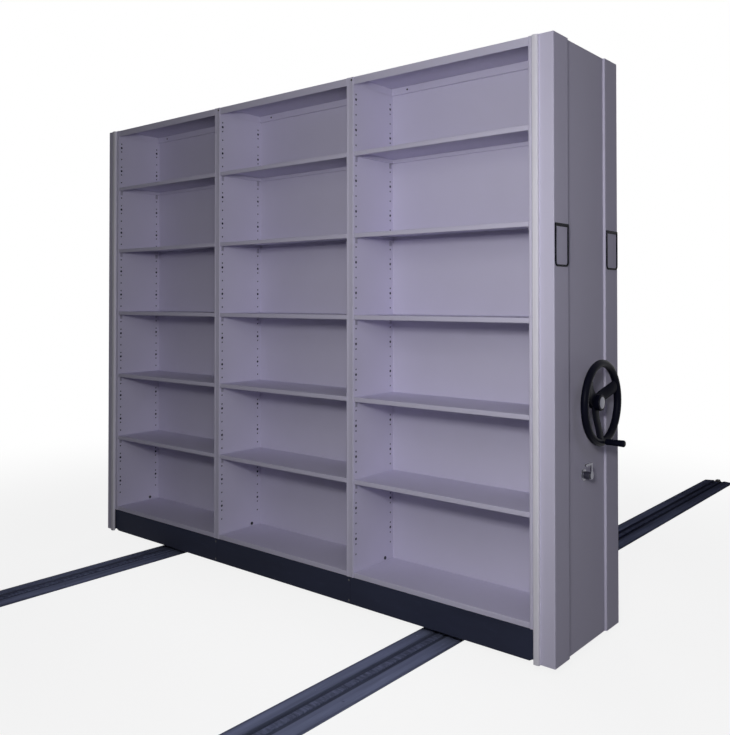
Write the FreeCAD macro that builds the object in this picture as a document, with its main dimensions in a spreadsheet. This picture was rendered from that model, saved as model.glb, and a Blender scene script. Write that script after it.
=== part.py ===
# Mobile shelving carriage with three double-sided bays, rolling on two floor rails.
# Millimetres. +X points to the hand wheel end, -Y to the front, +Z up.
# The origin is on the floor, midway between the rails, under the middle of the carriage.
import FreeCAD, Part
import math
import os
import re
import Sketcher

BAYS = 3
SHELVES = 5
ANCHOR_ROWS_FRONT = 2
ANCHOR_ROWS_REAR = 6
HALF_TURN = 180
SPOKE_TURNS = (-6, 114, 234)

SIZES = (
    ("bay_pitch", 900, "upright to upright"),
    ("upright_width", 40, "front face of an upright"),
    ("carriage_depth", 568, "front face to rear face"),
    ("frame_top", 2356, "top of the uprights above the floor"),
    ("ground_gap", 38, "underside of the kick beams above the floor"),
    ("upright_sheet", 1.2, "wall of an upright"),
    ("panel_sheet", 1.2, "sheet of shelves, decks and top panels"),
    ("back_sheet", 1.2, "sheet of the back panels"),
    ("shelf_first", 586, "top of the lowest shelf above the floor"),
    ("shelf_pitch", 360, "shelf to shelf, eight clip holes apart"),
    ("shelf_lip", 20, "folded edge of a shelf"),
    ("deck_lip", 22, "folded edge of a base deck"),
    ("top_lip", 34, "folded edge of a top panel"),
    ("shelf_setback", 2, "shelf edge behind the upright face"),
    ("shelf_gap", 1, "shelf end to upright"),
    ("back_gap", 0.3, "shelf edge to back panel"),
    ("top_rail_depth", 24, "rail under the top panel, front to rear"),
    ("clip_width", 14, "shelf clip, front to rear"),
    ("clip_reach", 12, "ledge of a shelf clip"),
    ("clip_height", 24, "shelf clip below the shelf"),
    ("clip_sheet", 2, "sheet of a shelf clip"),
    ("clip_inset", 11, "outer edge of a shelf to its clips"),
    ("clip_inset_back", 12, "back edge of a shelf to its clips"),
    ("kick_height", 120, "kick beam, bottom to top"),
    ("kick_setback", 4, "kick beam behind the upright face"),
    ("kick_sheet", 3, "sheet of a kick beam"),
    ("kick_flange", 40, "flange of a kick beam"),
    ("kick_corner_length", 45, "cut lower corner of a kick beam, along the beam"),
    ("kick_corner_height", 24, "cut lower corner of a kick beam, upwards"),
    ("plate_sheet", 5, "chassis plates"),
    ("cross_hole_radius", 20, "hole for the drive shaft in a cross plate"),
    ("rail_gauge", 1784, "rail middle to rail middle"),
    ("rail_width", 200, "floor rail over its ramps"),
    ("rail_edge", 3, "outer edge of a ramp"),
    ("rail_crown", 8, "inner edge of a ramp"),
    ("rail_floor", 2, "floor of the groove"),
    ("groove_width", 66, "groove between the ramps"),
    ("bar_width", 28, "running bar"),
    ("bar_top", 8, "running bar above the floor"),
    ("rail_front", 1344, "origin to the front end of the rails"),
    ("rail_rear", 3456, "origin to the rear end of the rails"),
    ("anchor_pitch", 600, "anchor hole to anchor hole along a rail"),
    ("anchor_offset", 64, "anchor hole from the middle of its rail"),
    ("anchor_radius", 5.5, "anchor hole"),
    ("stop_length", 40, "end stop along the rail"),
    ("stop_inset", 10, "end stop from the end of the rail"),
    ("stop_height", 12, "end stop above the running bar"),
    ("wheel_radius", 69, "tread of a wheel"),
    ("tread_width", 30, "tread between the flanges"),
    ("flange_width", 6, "flange of a wheel at its foot"),
    ("flange_height", 5, "flange of a wheel beyond the tread"),
    ("flange_taper", 2, "slope of a flange face"),
    ("wheel_base", 340, "front axle to rear axle"),
    ("tread_gap", 0.3, "tread above the running bar"),
    ("carrier_gap", 4, "wheel to carrier plate"),
    ("shaft_radius", 12.5, "drive shaft"),
    ("shaft_overhang", 45, "drive shaft beyond the far wheel"),
    ("bearing_radius", 26, "drive shaft bearing"),
    ("bearing_width", 15, "drive shaft bearing"),
    ("idle_axle_radius", 10, "idle axle"),
    ("axle_overhang", 8, "idle axle beyond its carrier plates"),
    ("fit_gap", 0.05, "running fit, radial"),
    ("seat_gap", 0.02, "seated fit, radial"),
    ("drive_panel_depth", 64, "drive end panel, frame end to band face"),
    ("plain_panel_depth", 56, "plain end panel"),
    ("panel_skin", 1.5, "sheet of the end panels"),
    ("band_width", 118, "raised band of the drive panel"),
    ("band_slope", 4, "slope beside a band"),
    ("band_step", 9, "band above the middle field"),
    ("strip_width", 25, "seal strip"),
    ("strip_proud", 14, "seal strip in front of the upright face"),
    ("strip_lap", 5, "seal strip over the end panel"),
    ("strip_round", 5, "cut corner of a seal strip"),
    ("strip_drop", 2, "top of a seal strip below the frame top"),
    ("card_width", 108, "card frame"),
    ("card_height", 160, "card frame"),
    ("card_bottom", 1496, "card frame above the floor"),
    ("card_border", 6, "border of a card frame"),
    ("card_head", 12, "head bar of a card frame"),
    ("card_thick", 4, "card frame"),
    ("card_corner", 18, "lower corners of a card frame"),
    ("hand_height", 977, "hand wheel above the floor"),
    ("hand_radius", 166, "hand wheel over its rim"),
    ("rim_radius", 15, "section of the rim"),
    ("hand_standoff", 54, "rim from the band face"),
    ("hub_radius", 32, "hub of the hand wheel"),
    ("hub_inner", 42, "hub behind the rim"),
    ("hub_outer", 2, "hub in front of the rim"),
    ("spoke_width", 56, "spoke of the hand wheel"),
    ("spoke_thick", 18, "spoke of the hand wheel"),
    ("cap_radius", 23, "hub cap"),
    ("cap_height", 3, "hub cap"),
    ("hand_shaft_radius", 10, "hand wheel shaft"),
    ("hand_bearing_radius", 20, "hand wheel shaft bearing"),
    ("hand_bearing_width", 10, "hand wheel shaft bearing"),
    ("skin_hole_gap", 1, "hand wheel shaft to panel skin"),
    ("grip_offset", 148, "crank grip from the hand wheel axis"),
    ("grip_radius", 13, "crank grip"),
    ("grip_length", 75, "crank grip"),
    ("grip_gap", 2, "rim to crank grip"),
    ("grip_end", 6, "closed end of the crank grip"),
    ("pin_radius", 4, "crank pin"),
    ("chain_pitch", 12.7, "roller chain"),
    ("teeth_small", 13, "hand wheel sprocket and small counter sprocket"),
    ("teeth_large", 39, "large counter sprocket"),
    ("teeth_axle", 17, "sprocket on the drive shaft"),
    ("tooth_width", 5, "sprocket disc"),
    ("tooth_rise", 3.5, "tooth tip beyond the pitch circle"),
    ("roller_radius", 4.25, "chain roller"),
    ("link_height", 9, "chain side plate"),
    ("link_sheet", 1.5, "chain side plate"),
    ("link_gap", 0.5, "sprocket disc to chain side plate"),
    ("sprocket_hub_radius", 17, "hubs of the sprockets"),
    ("sprocket_hub_length", 8, "hub beside a sprocket disc"),
    ("counter_height", 330, "counter sprockets above the floor"),
    ("lower_chain_offset", 16, "lower chain from the frame end"),
    ("upper_chain_offset", 36, "upper chain from the frame end"),
    ("mount_plate", 4, "bearing plate and counter plate"),
    ("mount_plate_half", 55, "half side of a bearing or counter plate"),
    ("end_gap", 0.3, "turning piece to fixed face, along the axis"),
    ("lock_height", 696, "lock above the floor"),
    ("lock_offset", 26, "lock in front of the middle"),
    ("rosette_radius", 23, "lock rosette"),
    ("rosette_thick", 3, "lock rosette"),
    ("barrel_radius", 15, "lock barrel"),
    ("barrel_proud", 30, "lock barrel outside the panel"),
    ("barrel_depth", 26, "lock barrel inside the panel"),
    ("spindle_radius", 4, "lock spindle"),
    ("lever_radius", 13, "round end of the lock lever"),
    ("lever_thick", 5, "lock lever"),
    ("lever_width", 11, "arm of the lock lever"),
    ("lever_length", 52, "arm of the lock lever"),
    ("finger_length", 60, "finger bar of the lock lever"),
    ("finger_height", 9, "finger bar of the lock lever"),
    ("cam_length", 30, "lock cam"),
    ("cam_width", 16, "lock cam"),
    ("cam_thick", 4, "lock cam"),
    ("bolt_radius", 5, "small bolt heads"),
    ("bolt_proud", 2, "small bolt heads"),
    ("top_bolt_drop", 13, "top bolts below the frame top"),
    ("top_bolt_offset", 10, "top bolts beside the middle of an upright"),
    ("foot_bolt_radius", 8, "foot bolt heads"),
    ("foot_bolt_proud", 4, "foot bolt heads"),
    ("foot_bolt_rise", 12, "foot bolts above the deck"),
    ("foot_bolt_offset", 60, "foot bolts from the back panel"),
    ("kick_bolt_offset", 7, "kick bolts from the seam"),
    ("kick_bolt_inset", 16, "kick bolts from the beam's edges"),
)

ALIASES = re.compile(r"\b(" + "|".join(alias for alias, _, _ in SIZES) + r")\b")
ALONG = {
    "x": FreeCAD.Rotation(FreeCAD.Vector(0, 1, 0), 90),
    "y": FreeCAD.Rotation(FreeCAD.Vector(1, 0, 0), -90),
    "z": FreeCAD.Rotation(),
}

# Places that many pieces share, as expressions in the sizes.
FRAME_END = f"({BAYS} * bay_pitch + upright_width) / 2"
FACE = "carriage_depth / 2"
KICK_TOP = "(ground_gap + kick_height)"
DECK_TOP = "(ground_gap + kick_height + deck_lip)"
AXLE_HEIGHT = "(bar_top + tread_gap + wheel_radius)"
WHEEL_HALF = "(tread_width / 2 + flange_width)"
CARRIER_FACE = "(tread_width / 2 + flange_width + carrier_gap)"
BEAM_FACE = "(carriage_depth / 2 - kick_setback - kick_sheet)"
BAND_FACE = f"({FRAME_END} + drive_panel_depth)"
FIELD_FACE = f"({FRAME_END} + drive_panel_depth - band_step)"
RIM_PLANE = f"({FRAME_END} + drive_panel_depth + hand_standoff)"
LOWER_CHAIN = f"({FRAME_END} + lower_chain_offset)"
UPPER_CHAIN = f"({FRAME_END} + upper_chain_offset)"

doc = FreeCAD.newDocument("MobileShelving")
sheet = doc.addObject("Spreadsheet::Sheet", "Sizes")
nodes = []


def fill_sheet():
    """One row per driving dimension: its meaning, and its value under its alias."""
    for row, (alias, value, meaning) in enumerate(SIZES, start=1):
        sheet.set(f"A{row}", meaning)
        sheet.set(f"B{row}", str(value))
        sheet.setAlias(f"B{row}", alias)
    doc.recompute()


def size(alias):
    """Value of one driving dimension, read from the sheet."""
    return float(sheet.get(alias))


def bind(item, prop, text):
    """Bind a property to an expression written in the names of the sizes."""
    item.setExpression(prop, ALIASES.sub(r"Sizes.\1", text))


def place(item, corner):
    for axis, text in zip("xyz", corner):
        bind(item, "Placement.Base." + axis, text)


def box(name, lengths, corner):
    """Block from its lengths along X, Y, Z and its lowest corner."""
    item = doc.addObject("Part::Box", name)
    for prop, text in zip(("Length", "Width", "Height"), lengths):
        bind(item, prop, text)
    place(item, corner)
    return item


def rod(name, radius, length, start, along="x"):
    """Round bar from the middle of its first face."""
    item = doc.addObject("Part::Cylinder", name)
    bind(item, "Radius", radius)
    bind(item, "Height", length)
    item.Placement.Rotation = ALONG[along]
    place(item, start)
    return item


def group(name, items):
    item = doc.addObject("Part::Compound", name)
    item.Links = items
    return item


def join(name, items):
    item = doc.addObject("Part::MultiFuse", name)
    item.Shapes = items
    return item


def cut(name, base, tools):
    item = doc.addObject("Part::Cut", name)
    item.Base = base
    item.Tool = tools[0] if len(tools) == 1 else group(name + "_tools", tools)
    return item


def tube(name, outer, inner, length, start, along="x"):
    """Round bar with a bore right through it."""
    return cut(
        name,
        rod(name + "_outer", outer, length, start, along),
        [rod(name + "_bore", inner, length, start, along)],
    )


def node(item, label):
    """Name a finished sub-part and keep it for writing."""
    item.Label = label
    nodes.append(item)


def plane(body, role):
    return next(part for part in body.Origin.OriginFeatures if part.Role == role)


def sketch_on(body, role):
    sketch = body.newObject("Sketcher::SketchObject", body.Name + "_sketch")
    sketch.AttachmentSupport = [(plane(body, role), "")]
    sketch.MapMode = "FlatFace"
    return sketch


def hold(sketch, kind, geometry, text, start):
    """Signed distance of a line's first point or a circle's middle from the sketch origin."""
    point = 3 if isinstance(sketch.Geometry[geometry], Part.Circle) else 1
    index = sketch.addConstraint(Sketcher.Constraint(kind, -1, 1, geometry, point, start))
    bind(sketch, f"Constraints[{index}]", text)


def outline(body, role, points):
    """Closed straight-sided sketch whose corners are held by expressions."""
    sketch = sketch_on(body, role)
    count = len(points)
    turns = [2 * math.pi * index / count for index in range(count)]
    first = [FreeCAD.Vector(math.cos(turn), math.sin(turn), 0) for turn in turns]
    for index in range(count):
        sketch.addGeometry(Part.LineSegment(first[index], first[(index + 1) % count]))
    for index in range(count):
        sketch.addConstraint(Sketcher.Constraint("Coincident", index, 2, (index + 1) % count, 1))
    for index, (across, up) in enumerate(points):
        hold(sketch, "DistanceX", index, across, first[index].x)
        hold(sketch, "DistanceY", index, up, first[index].y)
    return sketch


def circle(body, role, radius, across="0", up="0"):
    sketch = sketch_on(body, role)
    sketch.addGeometry(Part.Circle(FreeCAD.Vector(), FreeCAD.Vector(0, 0, 1), 1))
    index = sketch.addConstraint(Sketcher.Constraint("Radius", 0, 1))
    bind(sketch, f"Constraints[{index}]", radius)
    hold(sketch, "DistanceX", 0, across, 0)
    hold(sketch, "DistanceY", 0, up, 0)
    return sketch


def pad(body, sketch, length, reverse=False, midplane=False):
    feature = body.newObject("PartDesign::Pad", body.Name + "_pad")
    feature.Profile = sketch
    feature.Reversed = reverse
    feature.SideType = "Symmetric" if midplane else "One side"
    bind(feature, "Length", length)
    return feature


def profile(name, role, points, length, corner, reverse=False):
    """Straight extrusion of an outline, placed by its sketch origin."""
    body = doc.addObject("PartDesign::Body", name)
    pad(body, outline(body, role, points), length, reverse)
    place(body, corner)
    return body


def make_track():
    """Two ramped floor rails with a running bar in each groove and stops at the ends."""
    half = "rail_width / 2"
    groove = "groove_width / 2"
    section = [
        (f"-{half}", "0"),
        (half, "0"),
        (half, "rail_edge"),
        (groove, "rail_crown"),
        (groove, "rail_floor"),
        (f"-{groove}", "rail_floor"),
        (f"-{groove}", "rail_crown"),
        (f"-{half}", "rail_edge"),
    ]
    length = "rail_front + rail_rear"
    rows = [index + 0.5 for index in range(-ANCHOR_ROWS_FRONT, ANCHOR_ROWS_REAR)]
    stops = []
    for side, sign in (("left", "-"), ("right", "")):
        middle = f"{sign}rail_gauge / 2"
        rail = profile(
            f"rail_{side}_body", "XZ_Plane", section, length, (middle, "-rail_front", "0"), reverse=True
        )
        holes = [
            rod(
                f"anchor_{side}",
                "anchor_radius",
                "rail_crown",
                (f"{middle} + {hand} * anchor_offset", f"{row} * anchor_pitch", "0"),
                "z",
            )
            for row in rows
            for hand in (-1, 1)
        ]
        node(cut(f"rail_{side}_cut", rail, holes), f"rail_{side}")
        corner = f"{middle} - bar_width / 2"
        bar = box(
            f"bar_{side}",
            ("bar_width", length, "bar_top - rail_floor"),
            (corner, "-rail_front", "rail_floor"),
        )
        node(bar, f"running_bar_{side}")
        for start in ("stop_inset - rail_front", "rail_rear - stop_inset - stop_length"):
            lengths = ("bar_width", "stop_length", "stop_height")
            stops.append(box(f"stop_{side}", lengths, (corner, start, "bar_top")))
    node(group("stops", stops), "rail_end_stops")


def make_kick_beams():
    """Channel beams along the base in one section per bay, with the outer lower corners cut off."""
    inner = f"{KICK_TOP} - kick_sheet"
    for side in ("front", "rear"):
        sections = []
        for bay in range(BAYS):
            first = bay == 0
            last = bay == BAYS - 1
            left = f"-({FRAME_END})" if first else f"({bay} - {BAYS} / 2) * bay_pitch"
            right = FRAME_END if last else f"({bay + 1} - {BAYS} / 2) * bay_pitch"
            cut_left = "kick_corner_length" if first else "0"
            cut_right = "kick_corner_length" if last else "0"
            points = [(f"{left} + {cut_left}", "ground_gap"), (f"{right} - {cut_right}", "ground_gap")]
            if last:
                points.append((right, "ground_gap + kick_corner_height"))
            points += [(right, KICK_TOP), (left, KICK_TOP)]
            if first:
                points.append((left, "ground_gap + kick_corner_height"))
            web_place = f"-{BEAM_FACE}" if side == "front" else f"{BEAM_FACE} + kick_sheet"
            web = profile(f"web_{side}", "XZ_Plane", points, "kick_sheet", ("0", web_place, "0"))
            depth = "kick_flange - kick_sheet"
            start = f"-{BEAM_FACE}" if side == "front" else f"{BEAM_FACE} - ({depth})"
            top = box(
                f"top_flange_{side}",
                (f"{right} - ({left})", depth, "kick_sheet"),
                (left, start, inner),
            )
            foot = box(
                f"foot_flange_{side}",
                (f"{right} - {cut_right} - ({left}) - {cut_left}", depth, "kick_sheet"),
                (f"{left} + {cut_left}", start, "ground_gap"),
            )
            sections.append(join(f"kick_{side}", [web, top, foot]))
        node(group(f"kicks_{side}", sections), f"kick_beam_{side}")


def chassis_plate(name, start, holes):
    """Upright plate between the kick beams, square to the rails' gauge, with round holes."""
    plate = box(
        name,
        ("plate_sheet", f"2 * {BEAM_FACE}", "kick_height - 2 * kick_sheet"),
        (start, f"-{BEAM_FACE}", "ground_gap + kick_sheet"),
    )
    if not holes:
        return plate
    cutters = [
        rod(name + "_hole", radius, "plate_sheet", (start, across, AXLE_HEIGHT))
        for radius, across in holes
    ]
    return cut(name + "_cut", plate, cutters)


def make_chassis():
    """Wheel carriers over the rails, plates at the ends and behind the seams of the kick beams."""
    drive = ("bearing_radius + seat_gap", "-wheel_base / 2")
    idle = ("idle_axle_radius + seat_gap", "wheel_base / 2")
    for side, sign in (("left", "-"), ("right", "")):
        middle = f"{sign}rail_gauge / 2"
        plates = [
            chassis_plate(f"carrier_{side}", f"{middle} - {CARRIER_FACE} - plate_sheet", [drive, idle]),
            chassis_plate(f"carrier_{side}", f"{middle} + {CARRIER_FACE}", [drive, idle]),
        ]
        node(group(f"carriers_{side}", plates), f"wheel_carrier_{side}")
    ends = [
        chassis_plate("end_left", f"-({FRAME_END})", []),
        chassis_plate("end_right", f"{FRAME_END} - plate_sheet", [drive]),
    ]
    node(group("ends", ends), "chassis_end_plates")
    seams = [f"({bay} - {BAYS} / 2) * bay_pitch - plate_sheet / 2" for bay in range(1, BAYS)]
    passage = ("cross_hole_radius", "-wheel_base / 2")
    crosses = [chassis_plate("cross", seam, [passage]) for seam in seams]
    node(group("crosses", crosses), "chassis_cross_plates")


def wheel(name, bore, corner):
    """Flanged wheel turned about X, with its bore."""
    body = doc.addObject("PartDesign::Body", name)
    tread = "tread_width / 2"
    rim = "wheel_radius + flange_height"
    points = [
        (f"-{WHEEL_HALF}", bore),
        (WHEEL_HALF, bore),
        (WHEEL_HALF, rim),
        (f"{tread} + flange_taper", rim),
        (tread, "wheel_radius"),
        (f"-{tread}", "wheel_radius"),
        (f"-{tread} - flange_taper", rim),
        (f"-{WHEEL_HALF}", rim),
    ]
    sketch = outline(body, "XZ_Plane", points)
    turned = body.newObject("PartDesign::Revolution", name + "_turned")
    turned.Profile = sketch
    turned.ReferenceAxis = (sketch, ["H_Axis"])
    place(body, corner)
    return body


def make_running_gear():
    """Drive shaft with its two wheels and bearings, and two idle wheels on fixed axles."""
    front = "-wheel_base / 2"
    rear = "wheel_base / 2"
    far = "-rail_gauge / 2 - shaft_overhang"
    shaft_end = f"{LOWER_CHAIN} + tooth_width / 2 + sprocket_hub_length"
    node(rod("shaft", "shaft_radius", f"{shaft_end} - ({far})", (far, front, AXLE_HEIGHT)), "drive_shaft")
    rings = []
    axles = []
    for side, sign in (("left", "-"), ("right", "")):
        middle = f"{sign}rail_gauge / 2"
        driven = wheel(f"driven_{side}", "shaft_radius + seat_gap", (middle, front, AXLE_HEIGHT))
        node(driven, f"drive_wheel_{side}")
        idler = wheel(f"idler_{side}", "idle_axle_radius + fit_gap", (middle, rear, AXLE_HEIGHT))
        node(idler, f"idle_wheel_{side}")
        reach = f"({CARRIER_FACE} + plate_sheet + axle_overhang)"
        axles.append(
            rod(f"axle_{side}", "idle_axle_radius", f"2 * {reach}", (f"{middle} - {reach}", rear, AXLE_HEIGHT))
        )
        for start in (f"{middle} - {CARRIER_FACE} - bearing_width", f"{middle} + {CARRIER_FACE}"):
            rings.append((f"ring_{side}", start))
    rings.append(("ring_end", f"{FRAME_END} - plate_sheet / 2 - bearing_width / 2"))
    bearings = [
        tube(name, "bearing_radius", "shaft_radius + fit_gap", "bearing_width", (start, front, AXLE_HEIGHT))
        for name, start in rings
    ]
    node(group("bearings", bearings), "shaft_bearings")
    node(group("axles", axles), "idle_axles")


def bay_start(bay):
    """Inner face of the upright on the left of a bay."""
    return f"({bay} - {BAYS} / 2) * bay_pitch + upright_width / 2"


def tray(name, length, depth, lip, corner):
    """Sheet tray, open below, with all four edges folded down."""
    outer = box(name + "_outer", (length, depth, lip), corner)
    walls = ("panel_sheet", "panel_sheet", "0")
    inner_corner = [f"{start} + {wall}" for start, wall in zip(corner, walls)]
    inner_lengths = (f"{length} - 2 * panel_sheet", f"{depth} - 2 * panel_sheet", f"{lip} - panel_sheet")
    return cut(name, outer, [box(name + "_inner", inner_lengths, inner_corner)])


def shelf_pair(name, bay, top, lip):
    """The front and rear trays of one level in one bay."""
    depth = f"({FACE} - shelf_setback - back_sheet / 2 - back_gap)"
    length = "bay_pitch - upright_width - 2 * shelf_gap"
    start = f"{bay_start(bay)} + shelf_gap"
    bottom = f"{top} - {lip}"
    return [
        tray(f"{name}_front", length, depth, lip, (start, f"shelf_setback - {FACE}", bottom)),
        tray(f"{name}_rear", length, depth, lip, (start, "back_sheet / 2 + back_gap", bottom)),
    ]


def shelf_top(level):
    return f"(shelf_first + {level} * shelf_pitch)"


def make_shelving():
    """Uprights, and in each bay a back panel, a top panel with its rail, a deck and shelves."""
    wall = "upright_sheet"
    height = f"frame_top - {KICK_TOP}"
    for number in range(BAYS + 1):
        start = f"{number} * bay_pitch - {FRAME_END}"
        post = box("post", ("upright_width", "carriage_depth", height), (start, f"-{FACE}", KICK_TOP))
        hollow = box(
            "post_hollow",
            (f"upright_width - 2 * {wall}", f"carriage_depth - 2 * {wall}", f"{height} - {wall}"),
            (f"{start} + {wall}", f"{wall} - {FACE}", KICK_TOP),
        )
        node(cut("upright_cut", post, [hollow]), f"upright_{number + 1}")
    rails = []
    clear = "bay_pitch - upright_width"
    rail_height = "(top_lip - panel_sheet)"
    rail_bottom = "frame_top - top_lip"
    for bay in range(BAYS):
        start = bay_start(bay)
        bottom = f"{KICK_TOP} - kick_sheet"
        back = box(
            "back",
            (clear, "back_sheet", f"{rail_bottom} - ({bottom})"),
            (start, "-back_sheet / 2", bottom),
        )
        node(back, f"back_panel_{bay + 1}")
        top = tray(
            "top",
            f"{clear} - 2 * shelf_gap",
            "carriage_depth - 2 * shelf_setback",
            "top_lip",
            (f"{start} + shelf_gap", f"shelf_setback - {FACE}", "frame_top - top_lip"),
        )
        node(top, f"top_panel_{bay + 1}")
        rail_corner = (f"{start} + shelf_gap + panel_sheet", "-top_rail_depth / 2", rail_bottom)
        rail_length = f"{clear} - 2 * shelf_gap - 2 * panel_sheet"
        solid_rail = box("top_rail", (rail_length, "top_rail_depth", rail_height), rail_corner)
        room = box(
            "top_rail_room",
            (rail_length, "top_rail_depth - 2 * panel_sheet", f"{rail_height} - 2 * panel_sheet"),
            (rail_corner[0], f"{rail_corner[1]} + panel_sheet", f"{rail_corner[2]} + panel_sheet"),
        )
        rails.append(cut("top_rail_cut", solid_rail, [room]))
        node(group("deck", shelf_pair("deck_tray", bay, DECK_TOP, "deck_lip")), f"base_deck_{bay + 1}")
        trays = []
        for level in range(SHELVES):
            trays += shelf_pair("shelf_tray", bay, shelf_top(level), "shelf_lip")
        node(group("shelves", trays), f"shelves_bay_{bay + 1}")
    node(group("top_rails_group", rails), "top_rails")


def make_shelf_clips():
    """Angle clips on the upright faces, four under each shelf, as copies of one left-hand clip."""
    reach = size("clip_reach")
    width = size("clip_width")
    sheet_gauge = size("clip_sheet")
    height = size("clip_height")
    leg = Part.makeBox(sheet_gauge, width, height - sheet_gauge)
    ledge = Part.makeBox(reach, width, sheet_gauge, FreeCAD.Vector(0, 0, height - sheet_gauge))
    clip = leg.fuse(ledge).removeSplitter()
    clear = size("bay_pitch") - size("upright_width")
    near = size("back_sheet") / 2 + size("back_gap") + size("clip_inset_back")
    far = size("carriage_depth") / 2 - size("shelf_setback") - size("clip_inset") - width
    starts = (-far - width, -near - width, near, far)
    copies = []
    for bay in range(BAYS):
        left = (bay - BAYS / 2) * size("bay_pitch") + size("upright_width") / 2
        for level in range(SHELVES):
            seat = size("shelf_first") + level * size("shelf_pitch") - size("shelf_lip")
            for start in starts:
                placed = clip.copy()
                placed.translate(FreeCAD.Vector(left, start, seat - height))
                across = FreeCAD.Vector(left + clear / 2, 0, 0)
                copies += [placed, placed.mirror(across, FreeCAD.Vector(1, 0, 0))]
    item = doc.addObject("Part::Feature", "clips")
    item.Shape = Part.makeCompound(copies)
    node(item, "shelf_clips")


def make_end_panels():
    """Drive panel with two raised bands, and the plain panel at the other end; both open inwards."""
    depth = "drive_panel_depth"
    face = FACE
    height = "frame_top - ground_gap"
    slope = "(band_width + band_slope)"
    outer = [
        ("0", f"-{face}"),
        (depth, f"-{face}"),
        (depth, f"band_width - {face}"),
        (f"{depth} - band_step", f"{slope} - {face}"),
        (f"{depth} - band_step", f"{face} - {slope}"),
        (depth, f"{face} - band_width"),
        (depth, face),
        ("0", face),
    ]
    lean = "panel_skin * (sqrt(band_slope ^ 2 + band_step ^ 2) - band_slope) / band_step"
    inner = [
        ("0", f"panel_skin - {face}"),
        (f"{depth} - panel_skin", f"panel_skin - {face}"),
        (f"{depth} - panel_skin", f"band_width - {face} - {lean}"),
        (f"{depth} - band_step - panel_skin", f"{slope} - {face} - {lean}"),
        (f"{depth} - band_step - panel_skin", f"{face} - {slope} + {lean}"),
        (f"{depth} - panel_skin", f"{face} - band_width + {lean}"),
        (f"{depth} - panel_skin", f"{face} - panel_skin"),
        ("0", f"{face} - panel_skin"),
    ]
    place_drive = (FRAME_END, "0", "ground_gap")
    shell = profile("drive_outer", "XY_Plane", outer, height, place_drive)
    hollow = profile("drive_inner", "XY_Plane", inner, f"{height} - panel_skin", place_drive)
    behind = f"{FIELD_FACE} - panel_skin"
    shaft_hole = rod(
        "hand_shaft_hole", "hand_shaft_radius + skin_hole_gap", "panel_skin", (behind, "0", "hand_height")
    )
    lock_hole = rod(
        "lock_hole", "barrel_radius + seat_gap", "panel_skin", (behind, "-lock_offset", "lock_height")
    )
    node(cut("drive_panel", shell, [hollow, shaft_hole, lock_hole]), "end_panel_drive")
    plain = box(
        "plain_outer",
        ("plain_panel_depth", "carriage_depth", height),
        (f"-({FRAME_END}) - plain_panel_depth", f"-{face}", "ground_gap"),
    )
    room = box(
        "plain_inner",
        ("plain_panel_depth - panel_skin", "carriage_depth - 2 * panel_skin", f"{height} - panel_skin"),
        (f"panel_skin - ({FRAME_END}) - plain_panel_depth", f"panel_skin - {face}", "ground_gap"),
    )
    node(cut("plain_panel", plain, [room]), "end_panel_plain")


def make_seal_strips():
    """Strips with cut corners on the joints between the end panels and the outer uprights."""
    section = [
        ("0", "0"),
        ("strip_width", "0"),
        ("strip_width", "strip_proud - strip_round"),
        ("strip_width - strip_round", "strip_proud"),
        ("strip_round", "strip_proud"),
        ("0", "strip_proud - strip_round"),
    ]
    height = "frame_top - strip_drop - ground_gap"
    right = f"{FRAME_END} + strip_lap - strip_width"
    for side, start in (("right", right), ("left", f"-({right}) - strip_width")):
        rear = profile(f"strip_{side}_rear", "XY_Plane", section, height, (start, FACE, "ground_gap"))
        mirrored = [(across, f"-({up})") for across, up in reversed(section)]
        front = profile(f"strip_{side}_front", "XY_Plane", mirrored, height, (start, f"-{FACE}", "ground_gap"))
        node(group(f"strips_{side}", [front, rear]), f"seal_strips_{side}")


def make_card_frames():
    """Portrait frames with a deep head bar and rounded lower corners, one on each band."""
    frames = []
    for hand in (-1, 1):
        start = f"{hand} * ({FACE} - band_width / 2) - card_width / 2"
        blank = box("card", ("card_thick", "card_width", "card_height"), (BAND_FACE, start, "card_bottom"))
        doc.recompute()
        rounded = doc.addObject("Part::Fillet", "card_rounded")
        rounded.Base = blank
        low = size("card_bottom")
        corners = [
            index
            for index, edge in enumerate(blank.Shape.Edges, start=1)
            if abs(edge.tangentAt(edge.FirstParameter).x) > 0.5 and abs(edge.CenterOfMass.z - low) < 1e-6
        ]
        rounded.Edges = [(index, size("card_corner"), size("card_corner")) for index in corners]
        window = box(
            "card_window",
            ("card_thick", "card_width - 2 * card_border", "card_height - card_border - card_head"),
            (BAND_FACE, f"{start} + card_border", "card_bottom + card_border"),
        )
        doc.recompute()
        cut_window = doc.addObject("Part::Fillet", "window_rounded")
        cut_window.Base = window
        radius = size("card_corner") - size("card_border")
        floor = low + size("card_border")
        lower = [
            index
            for index, edge in enumerate(window.Shape.Edges, start=1)
            if abs(edge.tangentAt(edge.FirstParameter).x) > 0.5 and abs(edge.CenterOfMass.z - floor) < 1e-6
        ]
        cut_window.Edges = [(index, radius, radius) for index in lower]
        frames.append(cut("card_frame", rounded, [cut_window]))
    node(group("cards", frames), "card_frames")


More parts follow.
